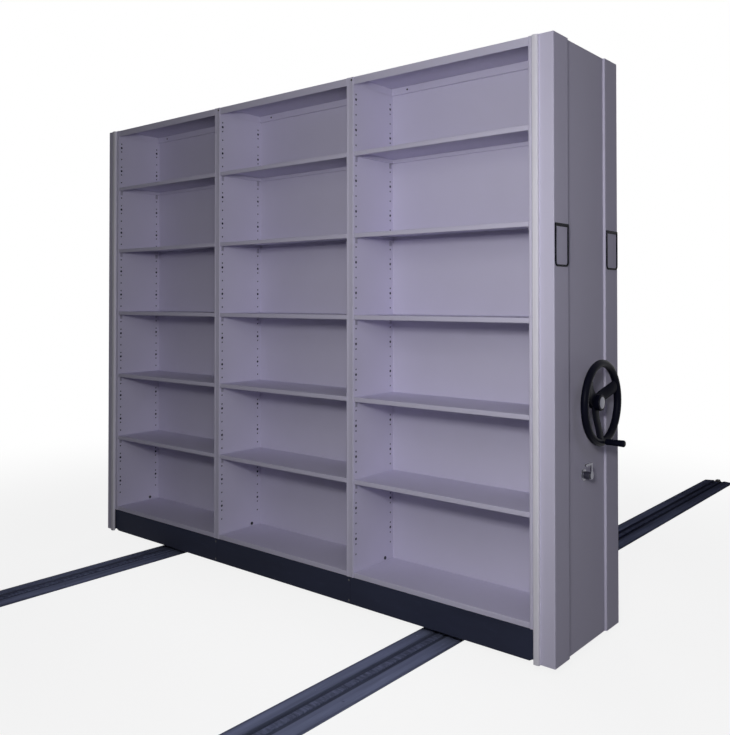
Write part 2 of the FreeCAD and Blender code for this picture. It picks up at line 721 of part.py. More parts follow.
def make_hand_wheel():
    """Dished three-spoke hand wheel on its shaft, with a hub cap and a crank grip at six o'clock."""
    middle = ("0", "hand_height")
    rim = doc.addObject("Part::Torus", "rim")
    bind(rim, "Radius1", "hand_radius - rim_radius")
    bind(rim, "Radius2", "rim_radius")
    rim.Placement.Rotation = ALONG["x"]
    place(rim, (RIM_PLANE, *middle))
    hub_start = f"{RIM_PLANE} - hub_inner"
    hub = rod("hub", "hub_radius", "hub_inner + hub_outer", (hub_start, *middle))
    reach = "rim_radius - hand_radius"
    foot = "spoke_thick - hub_inner"
    leaning = [
        (f"{foot} - spoke_thick / 2", "0"),
        ("-spoke_thick / 2", reach),
        ("spoke_thick / 2", reach),
        (f"{foot} + spoke_thick / 2", "0"),
    ]
    spokes = []
    for turn in SPOKE_TURNS:
        spoke = doc.addObject("PartDesign::Body", "spoke")
        pad(spoke, outline(spoke, "XZ_Plane", leaning), "spoke_width", midplane=True)
        spoke.Placement.Rotation = FreeCAD.Rotation(FreeCAD.Vector(1, 0, 0), turn)
        place(spoke, (RIM_PLANE, *middle))
        spokes.append(spoke)
    bore = rod("hub_bore", "hand_shaft_radius + seat_gap", "hub_inner + hub_outer", (hub_start, *middle))
    pin_place = (RIM_PLANE, "0", "hand_height - grip_offset")
    pin_hole = rod("pin_hole", "pin_radius + seat_gap", "2 * rim_radius", pin_place)
    wheel_body = join("hand_wheel_body", [rim, hub, *spokes])
    node(cut("hand_wheel_cut", wheel_body, [bore, pin_hole]), "hand_wheel")
    hub_face = f"{RIM_PLANE} + hub_outer"
    node(rod("cap", "cap_radius", "cap_height", (hub_face, *middle)), "hub_cap")
    shaft_start = f"{FRAME_END} + mount_plate + end_gap"
    node(
        rod("hand_shaft", "hand_shaft_radius", f"{hub_face} - ({shaft_start})", (shaft_start, *middle)),
        "hand_wheel_shaft",
    )
    grip_start = f"{RIM_PLANE} + rim_radius + grip_gap"
    pin_length = "rim_radius + grip_gap + grip_length - grip_end - end_gap"
    node(rod("pin", "pin_radius", pin_length, pin_place), "crank_pin")
    grip_place = (grip_start, *pin_place[1:])
    grip = rod("grip_blank", "grip_radius", "grip_length", grip_place)
    grip_bore = rod("grip_bore", "pin_radius + fit_gap", "grip_length - grip_end", grip_place)
    node(cut("grip", grip, [grip_bore]), "crank_grip")


def pitch_radius(teeth):
    return f"(chain_pitch / (2 * sin({HALF_TURN} / {teeth})))"


def sprocket(name, teeth, bore, corner):
    """Sprocket disc square to X: a round gap for a roller at every tooth."""
    body = doc.addObject("PartDesign::Body", name)
    pad(body, circle(body, "YZ_Plane", f"{pitch_radius(teeth)} + tooth_rise"), "tooth_width", midplane=True)
    for radius, rise in ((bore, "0"), ("roller_radius", pitch_radius(teeth))):
        sketch = circle(body, "YZ_Plane", radius, "0", rise)
        hole = body.newObject("PartDesign::Pocket", name + "_hole")
        hole.Profile = sketch
        hole.Type = "ThroughAll"
        hole.SideType = "Symmetric"
    pattern = body.newObject("PartDesign::PolarPattern", name + "_gaps")
    pattern.Originals = [hole]
    pattern.Axis = (sketch, ["N_Axis"])
    bind(pattern, "Occurrences", teeth)
    body.Tip = pattern
    place(body, corner)
    return body


def make_sprockets():
    """Hand wheel sprocket, the pair of counter sprockets on one hub, and the drive shaft sprocket."""
    hub = "sprocket_hub_radius"
    half = "tooth_width / 2"
    upper = (UPPER_CHAIN, "0", "hand_height")
    seat = "hand_shaft_radius + seat_gap"
    disc = sprocket("upper_disc", "teeth_small", seat, upper)
    boss_start = (f"{UPPER_CHAIN} - {half} - sprocket_hub_length", "0", "hand_height")
    boss = tube("upper_boss", hub, seat, "sprocket_hub_length", boss_start)
    node(join("upper_sprocket", [disc, boss]), "hand_wheel_sprocket")
    run = "hand_shaft_radius + fit_gap"
    small = sprocket("counter_small", "teeth_small", run, (LOWER_CHAIN, "0", "counter_height"))
    large = sprocket("counter_large", "teeth_large", run, (UPPER_CHAIN, "0", "counter_height"))
    start = f"{FRAME_END} + mount_plate + end_gap"
    end = f"{UPPER_CHAIN} + {half} + sprocket_hub_length"
    sleeve = tube("counter_hub", hub, run, f"{end} - ({start})", (start, "0", "counter_height"))
    node(join("counter", [small, large, sleeve]), "counter_sprockets")
    axle_seat = "shaft_radius + seat_gap"
    place_axle = (LOWER_CHAIN, "-wheel_base / 2", AXLE_HEIGHT)
    axle_disc = sprocket("axle_disc", "teeth_axle", axle_seat, place_axle)
    collar_start = (f"{LOWER_CHAIN} + {half}", *place_axle[1:])
    collar = tube("axle_collar", "shaft_radius + link_height / 2", axle_seat, "sprocket_hub_length", collar_start)
    node(join("axle_sprocket_body", [axle_disc, collar]), "axle_sprocket")


def make_drive_mounts():
    """Bearing plate and bearings of the hand wheel shaft, and the counter plate with its stub axle."""
    side = "2 * mount_plate_half"
    for name, height in (("bearing_plate", "hand_height"), ("counter_base", "counter_height")):
        plate = box(
            name, ("mount_plate", side, side), (FRAME_END, "-mount_plate_half", f"{height} - mount_plate_half")
        )
        if name == "bearing_plate":
            node(plate, "hand_bearing_plate")
    stub_start = f"{FRAME_END} + mount_plate"
    stub_end = f"{UPPER_CHAIN} + tooth_width / 2 + sprocket_hub_length + end_gap"
    stub = rod("stub", "hand_shaft_radius", f"{stub_end} - ({stub_start})", (stub_start, "0", "counter_height"))
    node(join("counter_plate_body", [plate, stub]), "counter_plate")
    starts = (stub_start, f"{FIELD_FACE} - panel_skin - hand_bearing_width")
    rings = [
        tube(
            "hand_ring",
            "hand_bearing_radius",
            "hand_shaft_radius + fit_gap",
            "hand_bearing_width",
            (start, "0", "hand_height"),
        )
        for start in starts
    ]
    node(group("hand_rings", rings), "hand_shaft_bearings")


def belt_face(first, second, radius_first, radius_second):
    """Face inside a belt line round two circles in the YZ plane, tangent to both on the outside."""
    span = second - first
    lean = math.atan2(span.z, span.y)
    swing = math.acos((radius_first - radius_second) / span.Length)

    def on(middle, radius, turn):
        return middle + FreeCAD.Vector(0, radius * math.cos(turn), radius * math.sin(turn))

    up, down = lean + swing, lean - swing
    edges = [
        Part.Arc(on(first, radius_first, up), on(first, radius_first, lean + math.pi), on(first, radius_first, down)),
        Part.LineSegment(on(first, radius_first, down), on(second, radius_second, down)),
        Part.Arc(on(second, radius_second, down), on(second, radius_second, lean), on(second, radius_second, up)),
        Part.LineSegment(on(second, radius_second, up), on(first, radius_first, up)),
    ]
    return Part.Face(Part.Wire([edge.toShape() for edge in edges]))


def chain(name, x_place, first, teeth_first, second, teeth_second):
    """Roller chain standing on two sprockets: two bands of side plates, with rollers on the free runs."""
    pitch = size("chain_pitch")
    radii = [pitch / (2 * math.sin(math.pi / teeth)) for teeth in (teeth_first, teeth_second)]
    half_link = size("link_height") / 2
    inside = size("tooth_width") / 2 + size("link_gap")
    gauge = size("link_sheet")
    solids = []
    for start in (-inside - gauge, inside):
        rims = [belt_face(first, second, *(radius + grow for radius in radii)) for grow in (half_link, -half_link)]
        band = rims[0].cut(rims[1]).extrude(FreeCAD.Vector(gauge, 0, 0))
        band.translate(FreeCAD.Vector(start, 0, 0))
        solids.append(band)
    span = second - first
    swing = math.acos((radii[0] - radii[1]) / span.Length)
    lean = math.atan2(span.z, span.y)
    free = size("tooth_rise") + size("roller_radius") + size("link_gap")
    for turn in (lean + swing, lean - swing):
        offset = FreeCAD.Vector(0, math.cos(turn), math.sin(turn))
        begin = first + offset * radii[0]
        run = second + offset * radii[1] - begin
        count = int(run.Length // pitch)
        for index in range(count):
            spot = begin + run * ((index + 0.5) * pitch / run.Length)
            clear = [(spot - middle).Length - radius for middle, radius in zip((first, second), radii)]
            if min(clear) > free:
                base = spot + FreeCAD.Vector(-inside, 0, 0)
                solids.append(
                    Part.makeCylinder(size("roller_radius"), 2 * inside, base, FreeCAD.Vector(1, 0, 0))
                )
    item = doc.addObject("Part::Feature", name + "_links")
    item.Shape = Part.makeCompound(solids)
    item.Placement.Base = FreeCAD.Vector(x_place, 0, 0)
    node(item, name)


def make_chains():
    """Upper chain from the hand wheel to the counter sprockets, lower chain on to the drive shaft."""
    frame_end = (BAYS * size("bay_pitch") + size("upright_width")) / 2
    axle_height = size("bar_top") + size("tread_gap") + size("wheel_radius")
    top = FreeCAD.Vector(0, 0, size("hand_height"))
    counter = FreeCAD.Vector(0, 0, size("counter_height"))
    axle = FreeCAD.Vector(0, -size("wheel_base") / 2, axle_height)
    upper_x = frame_end + size("upper_chain_offset")
    lower_x = frame_end + size("lower_chain_offset")
    chain("chain_upper", upper_x, counter, size("teeth_large"), top, size("teeth_small"))
    chain("chain_lower", lower_x, axle, size("teeth_axle"), counter, size("teeth_small"))


def make_lock():
    """Lock barrel with its rosette in the drive panel, a turn lever outside and a cam behind it."""
    axis = ("-lock_offset", "lock_height")
    start = f"{FIELD_FACE} - panel_skin - barrel_depth"
    length = "barrel_depth + panel_skin + barrel_proud"
    barrel = rod("barrel", "barrel_radius", length, (start, *axis))
    rosette = rod("rosette", "rosette_radius", "rosette_thick", (FIELD_FACE, *axis))
    bore = rod("barrel_bore", "spindle_radius + fit_gap", length, (start, *axis))
    node(cut("barrel_cut", join("barrel_body", [barrel, rosette]), [bore]), "lock_barrel")
    lever_start = f"{FIELD_FACE} + barrel_proud + end_gap"
    cam_start = f"{start} - end_gap - cam_thick"
    disc = rod("lever_disc", "lever_radius", "lever_thick", (lever_start, *axis))
    arm = box(
        "lever_arm",
        ("lever_thick", "lever_width", "lever_length"),
        (lever_start, "-lock_offset - lever_width / 2", "lock_height"),
    )
    finger = box(
        "lever_finger",
        ("lever_thick", "finger_length", "finger_height"),
        (
            lever_start,
            "-lock_offset + lever_width / 2 - finger_length",
            "lock_height + lever_length - finger_height",
        ),
    )
    spindle = rod("spindle", "spindle_radius", f"{lever_start} - ({cam_start})", (cam_start, *axis))
    node(join("lever", [disc, arm, finger, spindle]), "lock_lever")
    blank = box(
        "cam_blank",
        ("cam_thick", "cam_width", "cam_length + cam_width / 2"),
        (cam_start, "-lock_offset - cam_width / 2", "lock_height - cam_width / 2"),
    )
    hole = rod("cam_hole", "spindle_radius + seat_gap", "cam_thick", (cam_start, *axis))
    node(cut("cam", blank, [hole]), "lock_cam")


def make_bolts():
    """Bolt heads: at the upright tops, above the decks, and beside the seams of the kick beams."""
    seams = [f"({bay} - {BAYS} / 2) * bay_pitch" for bay in range(1, BAYS)]
    tops = []
    kicks = []
    for seam in seams:
        height = "frame_top - top_bolt_drop"
        beam = f"({BEAM_FACE} + kick_sheet)"
        for start in (f"-{FACE} - bolt_proud", FACE):
            spot = (f"{seam} + top_bolt_offset", start, height)
            tops.append(rod("top_bolt", "bolt_radius", "bolt_proud", spot, "y"))
        for start in (f"-{beam} - bolt_proud", beam):
            for rise in ("ground_gap + kick_bolt_inset", f"{KICK_TOP} - kick_bolt_inset"):
                spot = (f"{seam} - kick_bolt_offset", start, rise)
                kicks.append(rod("kick_bolt", "bolt_radius", "bolt_proud", spot, "y"))
    node(group("top_bolts", tops), "upright_top_bolts")
    node(group("kick_bolts_group", kicks), "kick_bolts")
    feet = []
    for bay in range(BAYS):
        left = bay_start(bay)
        right = f"{left} + bay_pitch - upright_width - foot_bolt_proud"
        for start in (left, right):
            for hand in (-1, 1):
                spot = (start, f"{hand} * foot_bolt_offset", f"{DECK_TOP} + foot_bolt_rise")
                feet.append(rod("foot_bolt", "foot_bolt_radius", "foot_bolt_proud", spot))
    node(group("feet_bolts", feet), "foot_bolts")


def check_document():
    """Stop if any object failed to build or a sub-part has no valid shape."""
    for item in doc.Objects:
        if "Invalid" in item.State or "Error" in item.State:
            raise RuntimeError(f"{item.Name} failed: {item.State}")
    for item in nodes:
        if item.Shape.isNull() or not item.Shape.isValid():
            raise RuntimeError(f"{item.Label} has no valid shape")


def write_parts():
    os.makedirs("parts", exist_ok=True)
    for item in nodes:
        item.Shape.exportStep(f"parts/{item.Label}.step")


fill_sheet()
make_track()
make_kick_beams()
make_chassis()
make_running_gear()
make_shelving()
make_shelf_clips()
make_end_panels()
make_seal_strips()
make_card_frames()
make_hand_wheel()
make_sprockets()
make_drive_mounts()
make_chains()
make_lock()
make_bolts()
doc.recompute()
check_document()
write_parts()
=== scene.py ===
"""Mobile shelving carriage: sheet work, rails, drive wheel, finishes and stage.

Lengths are metres. +X points to the hand wheel end, -Y to the front, +Z up.
A shape is a pair: points (n, 3), and a list of face blocks, each an array of corner numbers.
"""
import math

import bmesh
import bpy
import numpy as np
from bpy.props import FloatProperty, FloatVectorProperty, PointerProperty
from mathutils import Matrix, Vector


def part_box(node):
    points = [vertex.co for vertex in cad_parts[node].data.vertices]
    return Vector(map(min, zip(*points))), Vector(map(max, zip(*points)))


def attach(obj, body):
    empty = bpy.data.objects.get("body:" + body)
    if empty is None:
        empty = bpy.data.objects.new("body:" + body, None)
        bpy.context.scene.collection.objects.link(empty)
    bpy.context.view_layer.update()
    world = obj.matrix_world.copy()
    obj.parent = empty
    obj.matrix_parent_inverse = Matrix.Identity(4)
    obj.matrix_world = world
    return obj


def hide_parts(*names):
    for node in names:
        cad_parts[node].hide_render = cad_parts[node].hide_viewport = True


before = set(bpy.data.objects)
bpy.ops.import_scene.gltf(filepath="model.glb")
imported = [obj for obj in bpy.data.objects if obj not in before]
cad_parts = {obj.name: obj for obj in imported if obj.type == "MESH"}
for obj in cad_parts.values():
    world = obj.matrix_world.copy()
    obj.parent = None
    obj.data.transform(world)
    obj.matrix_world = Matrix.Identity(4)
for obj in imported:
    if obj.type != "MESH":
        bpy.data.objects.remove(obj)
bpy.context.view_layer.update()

bl_info = {
    "name": "Mobile shelving carriage",
    "version": (1, 0, 0),
    "blender": (4, 5, 0),
    "location": "View3D > Sidebar > Shelving",
    "description": "Builds the sheet work, rails, drive wheel and finishes of a mobile shelving carriage",
    "category": "Add Mesh",
}

BAYS = (1, 2, 3)
UPRIGHTS = (1, 2, 3, 4)
SHELVES = 5
AXES = "xyz"
MERGE_DISTANCE = 1e-6
ROUND_STEPS = 4
HOLE_SIDES = 8
RING_ACROSS = np.array([1, 1, 0, -1, -1, -1, 0, 1])
RING_ALONG = np.array([0, 1, 1, 1, 0, -1, -1, -1])

# Roundings, gaps and depths too fine to be listed in the panel, in metres.
CUT_EDGE = 0.0006
CHANNEL_BEND = 0.003
BAND_BEND = 0.005
BACK_GAP = 0.0003
FLOOR_DROP = 0.0004
LID_DROP = 0.002
LID_SHEET = 0.002
PANEL_HOLE_FIELD = 0.022
SHAFT_HOLE = 0.0112
LOCK_HOLE = 0.0164
SCREW_PROUD = 0.0022
BOLT_RADIUS = 0.005
BOLT_PROUD = 0.002
FOOT_BOLT_PROUD = 0.004
BAR_ROUND = 0.003
RAIL_ROUNDS = (CUT_EDGE, 0.0014, 0.0030, 0.0015)
ANCHOR_MARGIN = 0.1
ANCHOR_FLOOR = 0.001
STOP_HALF = 0.020
STOP_CORNER = 0.004
STOP_EDGE = 0.003
CLIP_BEND = 0.0032
CARD_HEAD_ROUND = 0.003
CARD_WINDOW_ROUND = 0.0015
RIM_SET_BACK = 0.002
BARREL_RADIUS = 0.015
BARREL_BORE = 0.0043
SPINDLE_RADIUS = 0.0040
LEVER_SHEET = 0.005
LEVER_BEVEL = 0.0009

# Large holes above a shelf's own row, in hole pitches, and the spokes' turns in degrees.
LARGE_HOLES = (2.5, 5.5)
SPOKE_TURNS = (24, 144, 264)

# Points round and along the turned and moulded pieces.
WHEEL_SIDES = 48
BARREL_SIDES = 40
SPOKE_ROWS = 15
SPOKE_SIDES = 20

# Parts of a noise's range that carry a finish's two tones and its scuffs, and a scuff's brightness.
TONE_RANGE = (0.32, 0.68)
SCUFF_RANGE = (0.58, 0.74)
SCUFF_TONE = 2.4

# Colours of the stage, the distances over which the floor's shadows fade out, and its whiteness before that.
WHITE = (1.0, 1.0, 1.0, 1.0)
FLOOR_BOUNCE = (0.20, 0.20, 0.22, 1.0)
FLOOR_SHADE = (0.92, 0.92, 0.92, 1.0)
SURROUND_TINT = (0.85, 0.85, 1.0, 1.0)
FLOOR_FADE = (1.6, 5.0)
FLOOR_GLOW = 0.86


def length(name, description, default):
    """A length that a user may change."""
    return FloatProperty(
        name=name, description=description, default=default, min=0.0, precision=5, unit="LENGTH"
    )


def tone(name, description, default):
    """A linear colour that a user may change."""
    return FloatVectorProperty(
        name=name, description=description, default=default, size=3, min=0.0, max=1.0, subtype="COLOR"
    )


def point(name, description, default):
    """A place that a user may change."""
    return FloatVectorProperty(
        name=name, description=description, default=default, size=3, subtype="TRANSLATION", unit="LENGTH"
    )


def amount(name, description, default):
    """A plain number that a user may change."""
    return FloatProperty(name=name, description=description, default=default, precision=4)


def power(name, description, default):
    """A light's power that a user may change."""
    return FloatProperty(name=name, description=description, default=default, min=0.0, unit="POWER")


def bearing(name, description, degrees):
    """An angle that a user may change, given in degrees."""
    return FloatProperty(name=name, description=description, default=math.radians(degrees), subtype="ANGLE")


class ShelvingSizes(bpy.types.PropertyGroup):
    """Sizes of the sheet work and fittings that the frame's solids leave plain."""

    sheet: length("Sheet", "Thickness of the folded sheet", 0.0012)
    bend: length("Bend", "Outer radius of a folded edge", 0.0028)
    shelf_lip: length("Shelf edge", "Folded edge of a shelf", 0.020)
    shelf_pitch: length("Shelf pitch", "Shelf to shelf", 0.360)
    return_lip: length("Return", "Second fold under a shelf edge", 0.012)
    panel_skin: length("Panel skin", "Sheet of the end panels", 0.0015)
    panel_bend: length("Panel bend", "Outer radius of the end panels' corners", 0.0035)
    hole_pitch: length("Hole pitch", "Clip hole to clip hole", 0.045)
    hole_radius: length("Clip hole", "Radius of a clip hole", 0.0043)
    key_hole_radius: length("Large hole", "Radius of the larger holes between the clip holes", 0.0066)
    hole_drop: length("Hole drop", "Row of clip holes below a shelf's top", 0.015)
    hole_margin: length("Hole margin", "First and last holes from the deck and the top", 0.070)
    column_outer: length("Outer hole column", "Hole column behind an upright's face", 0.020)
    column_inner: length("Inner hole column", "Hole column from the back panel", 0.0199)
    # Painted shade: the dark lining is a black sheet inside each upright, so that its holes show dark.
    shade_lining_inset: length("Lining", "Dark lining inside an upright, from its faces", 0.0045)
    channel_half: length("Channel", "Half width of the channel pressed in an upright's face", 0.0095)
    channel_slope: length("Channel slope", "Width of the channel's slopes", 0.003)
    channel_depth: length("Channel depth", "Depth of the channel", 0.0014)
    kick_sheet: length("Kick sheet", "Sheet of the kick beams", 0.003)
    kick_seam: length("Kick seam", "Gap between two lengths of kick beam", 0.0014)
    kick_corner: length("Kick corner", "Cut lower corner of a kick beam, along it", 0.045)
    kick_corner_rise: length("Kick corner rise", "Cut lower corner of a kick beam, upwards", 0.024)
    screw_inset: length("Screw inset", "Top rail screws from the uprights", 0.090)
    screw_radius: length("Screw", "Head radius of the top rail screws", 0.0045)
    clip_sheet: length("Clip sheet", "Sheet of a shelf clip", 0.002)
    clip_width: length("Clip width", "Shelf clip, front to rear", 0.014)
    clip_height: length("Clip height", "Shelf clip below the shelf", 0.024)
    clip_reach: length("Clip reach", "Ledge of a shelf clip", 0.012)
    strip_round: length("Strip rounding", "Outer corners of a seal strip", 0.0065)
    band_width: length("Band", "Raised band of the drive panel", 0.118)
    band_slope: length("Band slope", "Slope beside a band", 0.004)
    band_step: length("Band step", "Band above the middle field", 0.009)
    anchor_offset: length("Anchor offset", "Anchor hole from the middle of its rail", 0.064)
    anchor_radius: length("Anchor hole", "Radius of an anchor hole", 0.0055)
    anchor_pitch: length("Anchor pitch", "Anchor hole to anchor hole", 0.600)
    groove_half: length("Groove", "Half width of a rail's groove", 0.033)
    groove_floor: length("Groove floor", "Floor of a rail's groove", 0.002)
    ramp_edge: length("Ramp edge", "Outer edge of a rail's ramp", 0.003)
    rim_radius: length("Rim", "Section radius of the hand wheel's rim", 0.015)
    hub_radius: length("Hub", "Hub of the hand wheel", 0.032)
    spoke_width: length("Spoke", "Spoke of the hand wheel at the hub", 0.056)
    spoke_thick: length("Spoke thickness", "Spoke of the hand wheel", 0.018)
    card_border: length("Card border", "Side and foot borders of a card frame", 0.0075)
    card_head: length("Card head", "Head bar of a card frame", 0.012)
    card_corner: length("Card corner", "Lower corners of a card frame", 0.018)


class ShelvingColours(bpy.types.PropertyGroup):
    """Linear colours of the finishes."""

    grey_coat: tone("Grey coat", "Powder coat of the frame, shelves and panels", (0.680, 0.652, 0.805))
    black_coat: tone("Black coat", "Powder coat of the chassis", (0.036, 0.041, 0.072))
    rail_coat: tone("Rail coat", "Coat of the floor rails", (0.205, 0.231, 0.360))
    bar_steel: tone("Bar steel", "Running bars", (0.135, 0.152, 0.242))
    seal: tone("Seal", "Seal strips", (0.885, 0.865, 0.945))
    plastic: tone("Plastic", "Hand wheel, grip and card frames", (0.0040, 0.0044, 0.0110))
    chrome: tone("Chrome", "Lock and hub cap", (0.135, 0.135, 0.165))
    rubber: tone("Rubber", "End stops", (0.020, 0.020, 0.021))
    iron: tone("Iron", "Wheels", (0.170, 0.170, 0.178))
    steel: tone("Steel", "Shafts, sprockets and chains", (0.400, 0.400, 0.410))
    zinc: tone("Zinc", "Clips and mounting plates", (0.480, 0.465, 0.560))
    bolt: tone("Bolts", "Bolt heads", (0.050, 0.050, 0.058))


class ShelvingStage(bpy.types.PropertyGroup):
    """Camera and light."""

    eye: point("Camera", "Place of the camera", (2.810, -3.000, 1.374))
    pitch: bearing("Pitch", "Camera turn from straight down", 90.80)
    yaw: bearing("Yaw", "Camera turn about the vertical", 39.915)
    lens: amount("Lens", "Focal length in millimetres", 40.0)
    shift: amount("Shift", "Upward shift of the picture", -0.1079)
    aim: point("Aim", "Where the front lights point", (0.50, 0.0, 1.10))
    key_place: point("Key light", "Place of the front light", (1.75, -2.20, 2.10))
    key_size: length("Key size", "Side of the front light", 0.80)
    key_power: power("Key power", "Power of the front light", 6.2)
    tall_place: point("Tall light", "Place of the tall light by the corner", (2.00, -1.90, 1.40))
    tall_size: length("Tall size", "Width of the tall light", 0.70)
    tall_height: length("Tall height", "Height of the tall light", 2.20)
    tall_power: power("Tall power", "Power of the tall light", 2.5)
    side_place: point("Side light", "Place of the light on the right", (3.60, -1.90, 2.70))
    side_size: length("Side size", "Side of the light on the right", 0.90)
    side_power: power("Side power", "Power of the light on the right", 4.8)
    side_tint: tone("Side tint", "Colour of the light on the right", (0.76, 0.72, 1.0))
    small_place: point("Small light", "Place of the small light by the eye", (2.42, -2.82, 1.76))
    small_size: length("Small size", "Side of the small light by the eye", 0.30)
    small_power: power("Small power", "Power of the small light by the eye", 28.5)
    rear_place: point("Rear light", "Place of the rear light", (-2.6, 4.4, 1.5))
    rear_size: length("Rear size", "Side of the rear light", 2.6)
    rear_power: power("Rear power", "Power of the rear light", 22.0)
    rear_beam: bearing("Rear beam", "Angle of the rear light's beam", 64.0)
    top_place: point("Top light", "Place of the light above", (0.0, 0.0, 4.5))
    top_size: length("Top size", "Width of the light above", 2.60)
    top_depth: length("Top depth", "Depth of the light above", 0.50)
    top_power: power("Top power", "Power of the light above", 3.0)
    top_beam: bearing("Top beam", "Angle of the beam from above", 40.0)
    ambient: amount("Ambient", "Even light from all sides", 0.028)
    floor_side: length("Floor", "Side of the floor", 60.0)


def box(node):
    """Lowest and highest corners of a node, as arrays."""
    low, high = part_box(node)
    return np.array(low), np.array(high)


def unit(vectors):
    """Vectors divided by their lengths."""
    size = np.linalg.norm(vectors, axis=-1, keepdims=True)
    return vectors / np.maximum(size, 1e-12)


def oblong(left, foot, right, head):
    """Corners of an oblong in order round it, from the lower left one."""
    return [(left, foot), (right, foot), (right, head), (left, head)]


def rounded_line(corners, radii, closed=False, steps=ROUND_STEPS):
    """Line with round corners: each corner becomes an arc that touches its two sides.

    The arc's middle lies on the corner's bisector at radius / sin(half angle), and its points
    turn evenly from one touching point to the other. An open line keeps its two ends.
    """
    corners = np.asarray(corners, float)
    radii = np.broadcast_to(np.asarray(radii, float), len(corners))
    back = unit(np.roll(corners, 1, 0) - corners)
    ahead = unit(np.roll(corners, -1, 0) - corners)
    half = np.arccos(np.clip((back * ahead).sum(1), -0.99999, 0.99999)) / 2
    reach = (radii / np.tan(half))[:, None]
    middle = corners + unit(back + ahead) * (radii / np.sin(half))[:, None]
    first = (corners + back * reach - middle)[:, None]
    last = (corners + ahead * reach - middle)[:, None]
    turn = (np.pi - 2 * half)[:, None]
    share = np.linspace(0, 1, steps + 1)
    near = (np.sin((1 - share) * turn) / np.sin(turn))[..., None]
    far = (np.sin(share * turn) / np.sin(turn))[..., None]
    arcs = middle[:, None] + near * first + far * last
    if closed:
        return arcs.reshape(-1, 2)
    return np.vstack([corners[:1], arcs[1:-1].reshape(-1, 2), corners[-1:]])


def beside(line, distance, closed=False):
    """Line moved to its left: each point goes along the mitre of its two neighbouring sides."""
    ahead = unit(np.roll(line, -1, 0) - line)
    back = np.roll(ahead, 1, 0)
    if not closed:
        ahead[-1] = back[-1]
        back[0] = ahead[0]
    normal_ahead = np.column_stack([-ahead[:, 1], ahead[:, 0]])
    normal_back = np.column_stack([-back[:, 1], back[:, 0]])
    mitre = (normal_ahead + normal_back) / (1 + (ahead * back).sum(1))[:, None]
    return line + distance * mitre


def grid_faces(rows, columns, wrap_rows=False, wrap_columns=False):
    """Four-cornered faces of a grid of points numbered row by row."""
    index = np.arange(rows * columns).reshape(rows, columns)
    if wrap_rows:
        index = np.vstack([index, index[:1]])
    if wrap_columns:
        index = np.hstack([index, index[:, :1]])
    faces = [index[:-1, :-1], index[1:, :-1], index[1:, 1:], index[:-1, 1:]]
    return np.stack(faces, -1).reshape(-1, 4)


def on_axes(axes, first, second, third):
    """Points whose three coordinates go to the named axes."""
    first, second, third = np.broadcast_arrays(first, second, third)
    points = np.empty(first.shape + (3,))
    for letter, values in zip(axes, (first, second, third)):
        points[..., AXES.index(letter)] = values
    return points.reshape(-1, 3)


def capped(points, rows, count):
    """Shape of rings that are numbered ring by ring, with a flat face on the first and the last."""
    last = (rows - 1) * count
    ends = np.array([np.arange(count), last + np.arange(count)])
    return points, [grid_faces(rows, count, wrap_columns=True), ends]


def prism(ring, stations, axes):
    """Closed outline carried straight along the third named axis, with flat ends."""
    stations = np.asarray(stations, float)
    points = on_axes(axes, ring[None, :, 0], ring[None, :, 1], stations[:, None])
    return capped(points, len(stations), len(ring))


def folded(line, sheet, stations, axes):
    """Folded sheet: an open line and its neighbour to the left, carried along the third named axis.

    The ends are closed by a strip of faces between the two lines.
    """
    count = len(line)
    ring = np.vstack([line, beside(line, sheet)[::-1]])
    points, blocks = prism(ring, stations, axes)
    near = np.arange(count - 1)
    strip = np.column_stack([near, near + 1, 2 * count - 2 - near, 2 * count - 1 - near])
    last = (len(stations) - 1) * 2 * count
    return points, [blocks[0], strip, strip + last]


def turned(profile, centre, axis="x", sides=32):
    """Profile of (place along the axis, radius) pairs turned about the axis, with flat ends."""
    profile = np.asarray(profile, float)
    angle = np.arange(sides) * 2 * np.pi / sides
    start = AXES.index(axis)
    axes = axis + AXES[(start + 1) % 3] + AXES[(start + 2) % 3]
    along = profile[:, :1]
    points = on_axes(axes, along, profile[:, 1:] * np.cos(angle), profile[:, 1:] * np.sin(angle))
    return capped(points + np.asarray(centre, float), len(profile), sides)


def ring_tube(centre, radius, tube, sides=72, section=20):
    """Round tube bent to a ring about X: radius + tube * cos, tube * sin, swept round."""
    angle = (np.arange(sides) * 2 * np.pi / sides)[:, None]
    turn = np.arange(section) * 2 * np.pi / section
    out = radius + tube * np.cos(turn)
    points = on_axes("xyz", tube * np.sin(turn), out * np.cos(angle), out * np.sin(angle))
    return points + np.asarray(centre, float), [grid_faces(sides, section, True, True)]


def rounded_stack(low, high, corner, stations, steps=3):
    """Rings of a rounded rectangle, one for each (inset, height) pair, with flat first and last rings.

    An inset draws the four sides in, and the corner radius shrinks with it down to a small one.
    """
    stations = np.asarray(stations, float)
    inset = stations[:, :1]
    radius = np.maximum(corner - inset, 0.0004)
    half = (np.asarray(high, float) - low) / 2 - inset
    turn = np.linspace(0, np.pi / 2, steps + 1)
    angle = (np.arange(4)[:, None] * np.pi / 2 + turn).ravel()
    side_x = np.repeat([1, -1, -1, 1], steps + 1)
    side_y = np.repeat([1, 1, -1, -1], steps + 1)
    middle = (np.asarray(low, float) + high) / 2
    across = middle[0] + side_x * (half[:, :1] - radius) + radius * np.cos(angle)
    along = middle[1] + side_y * (half[:, 1:] - radius) + radius * np.sin(angle)
    points = on_axes("xyz", across, along, stations[:, 1:])
    return capped(points, len(stations), len(angle))


def distances(line, closed):
    """Distance of each point from the line's start, with the whole length last where it is closed."""
    loop = np.vstack([line, line[:1]]) if closed else line
    steps = np.linalg.norm(np.diff(loop, axis=0), axis=1)
    return np.concatenate([[0.0], np.cumsum(steps)])


def along(line, run, places):
    """Points of a line at distances from its start."""
    loop = np.vstack([line, line[:1]]) if len(run) > len(line) else line
    return np.column_stack([np.interp(places, run, loop[:, axis]) for axis in (0, 1)])


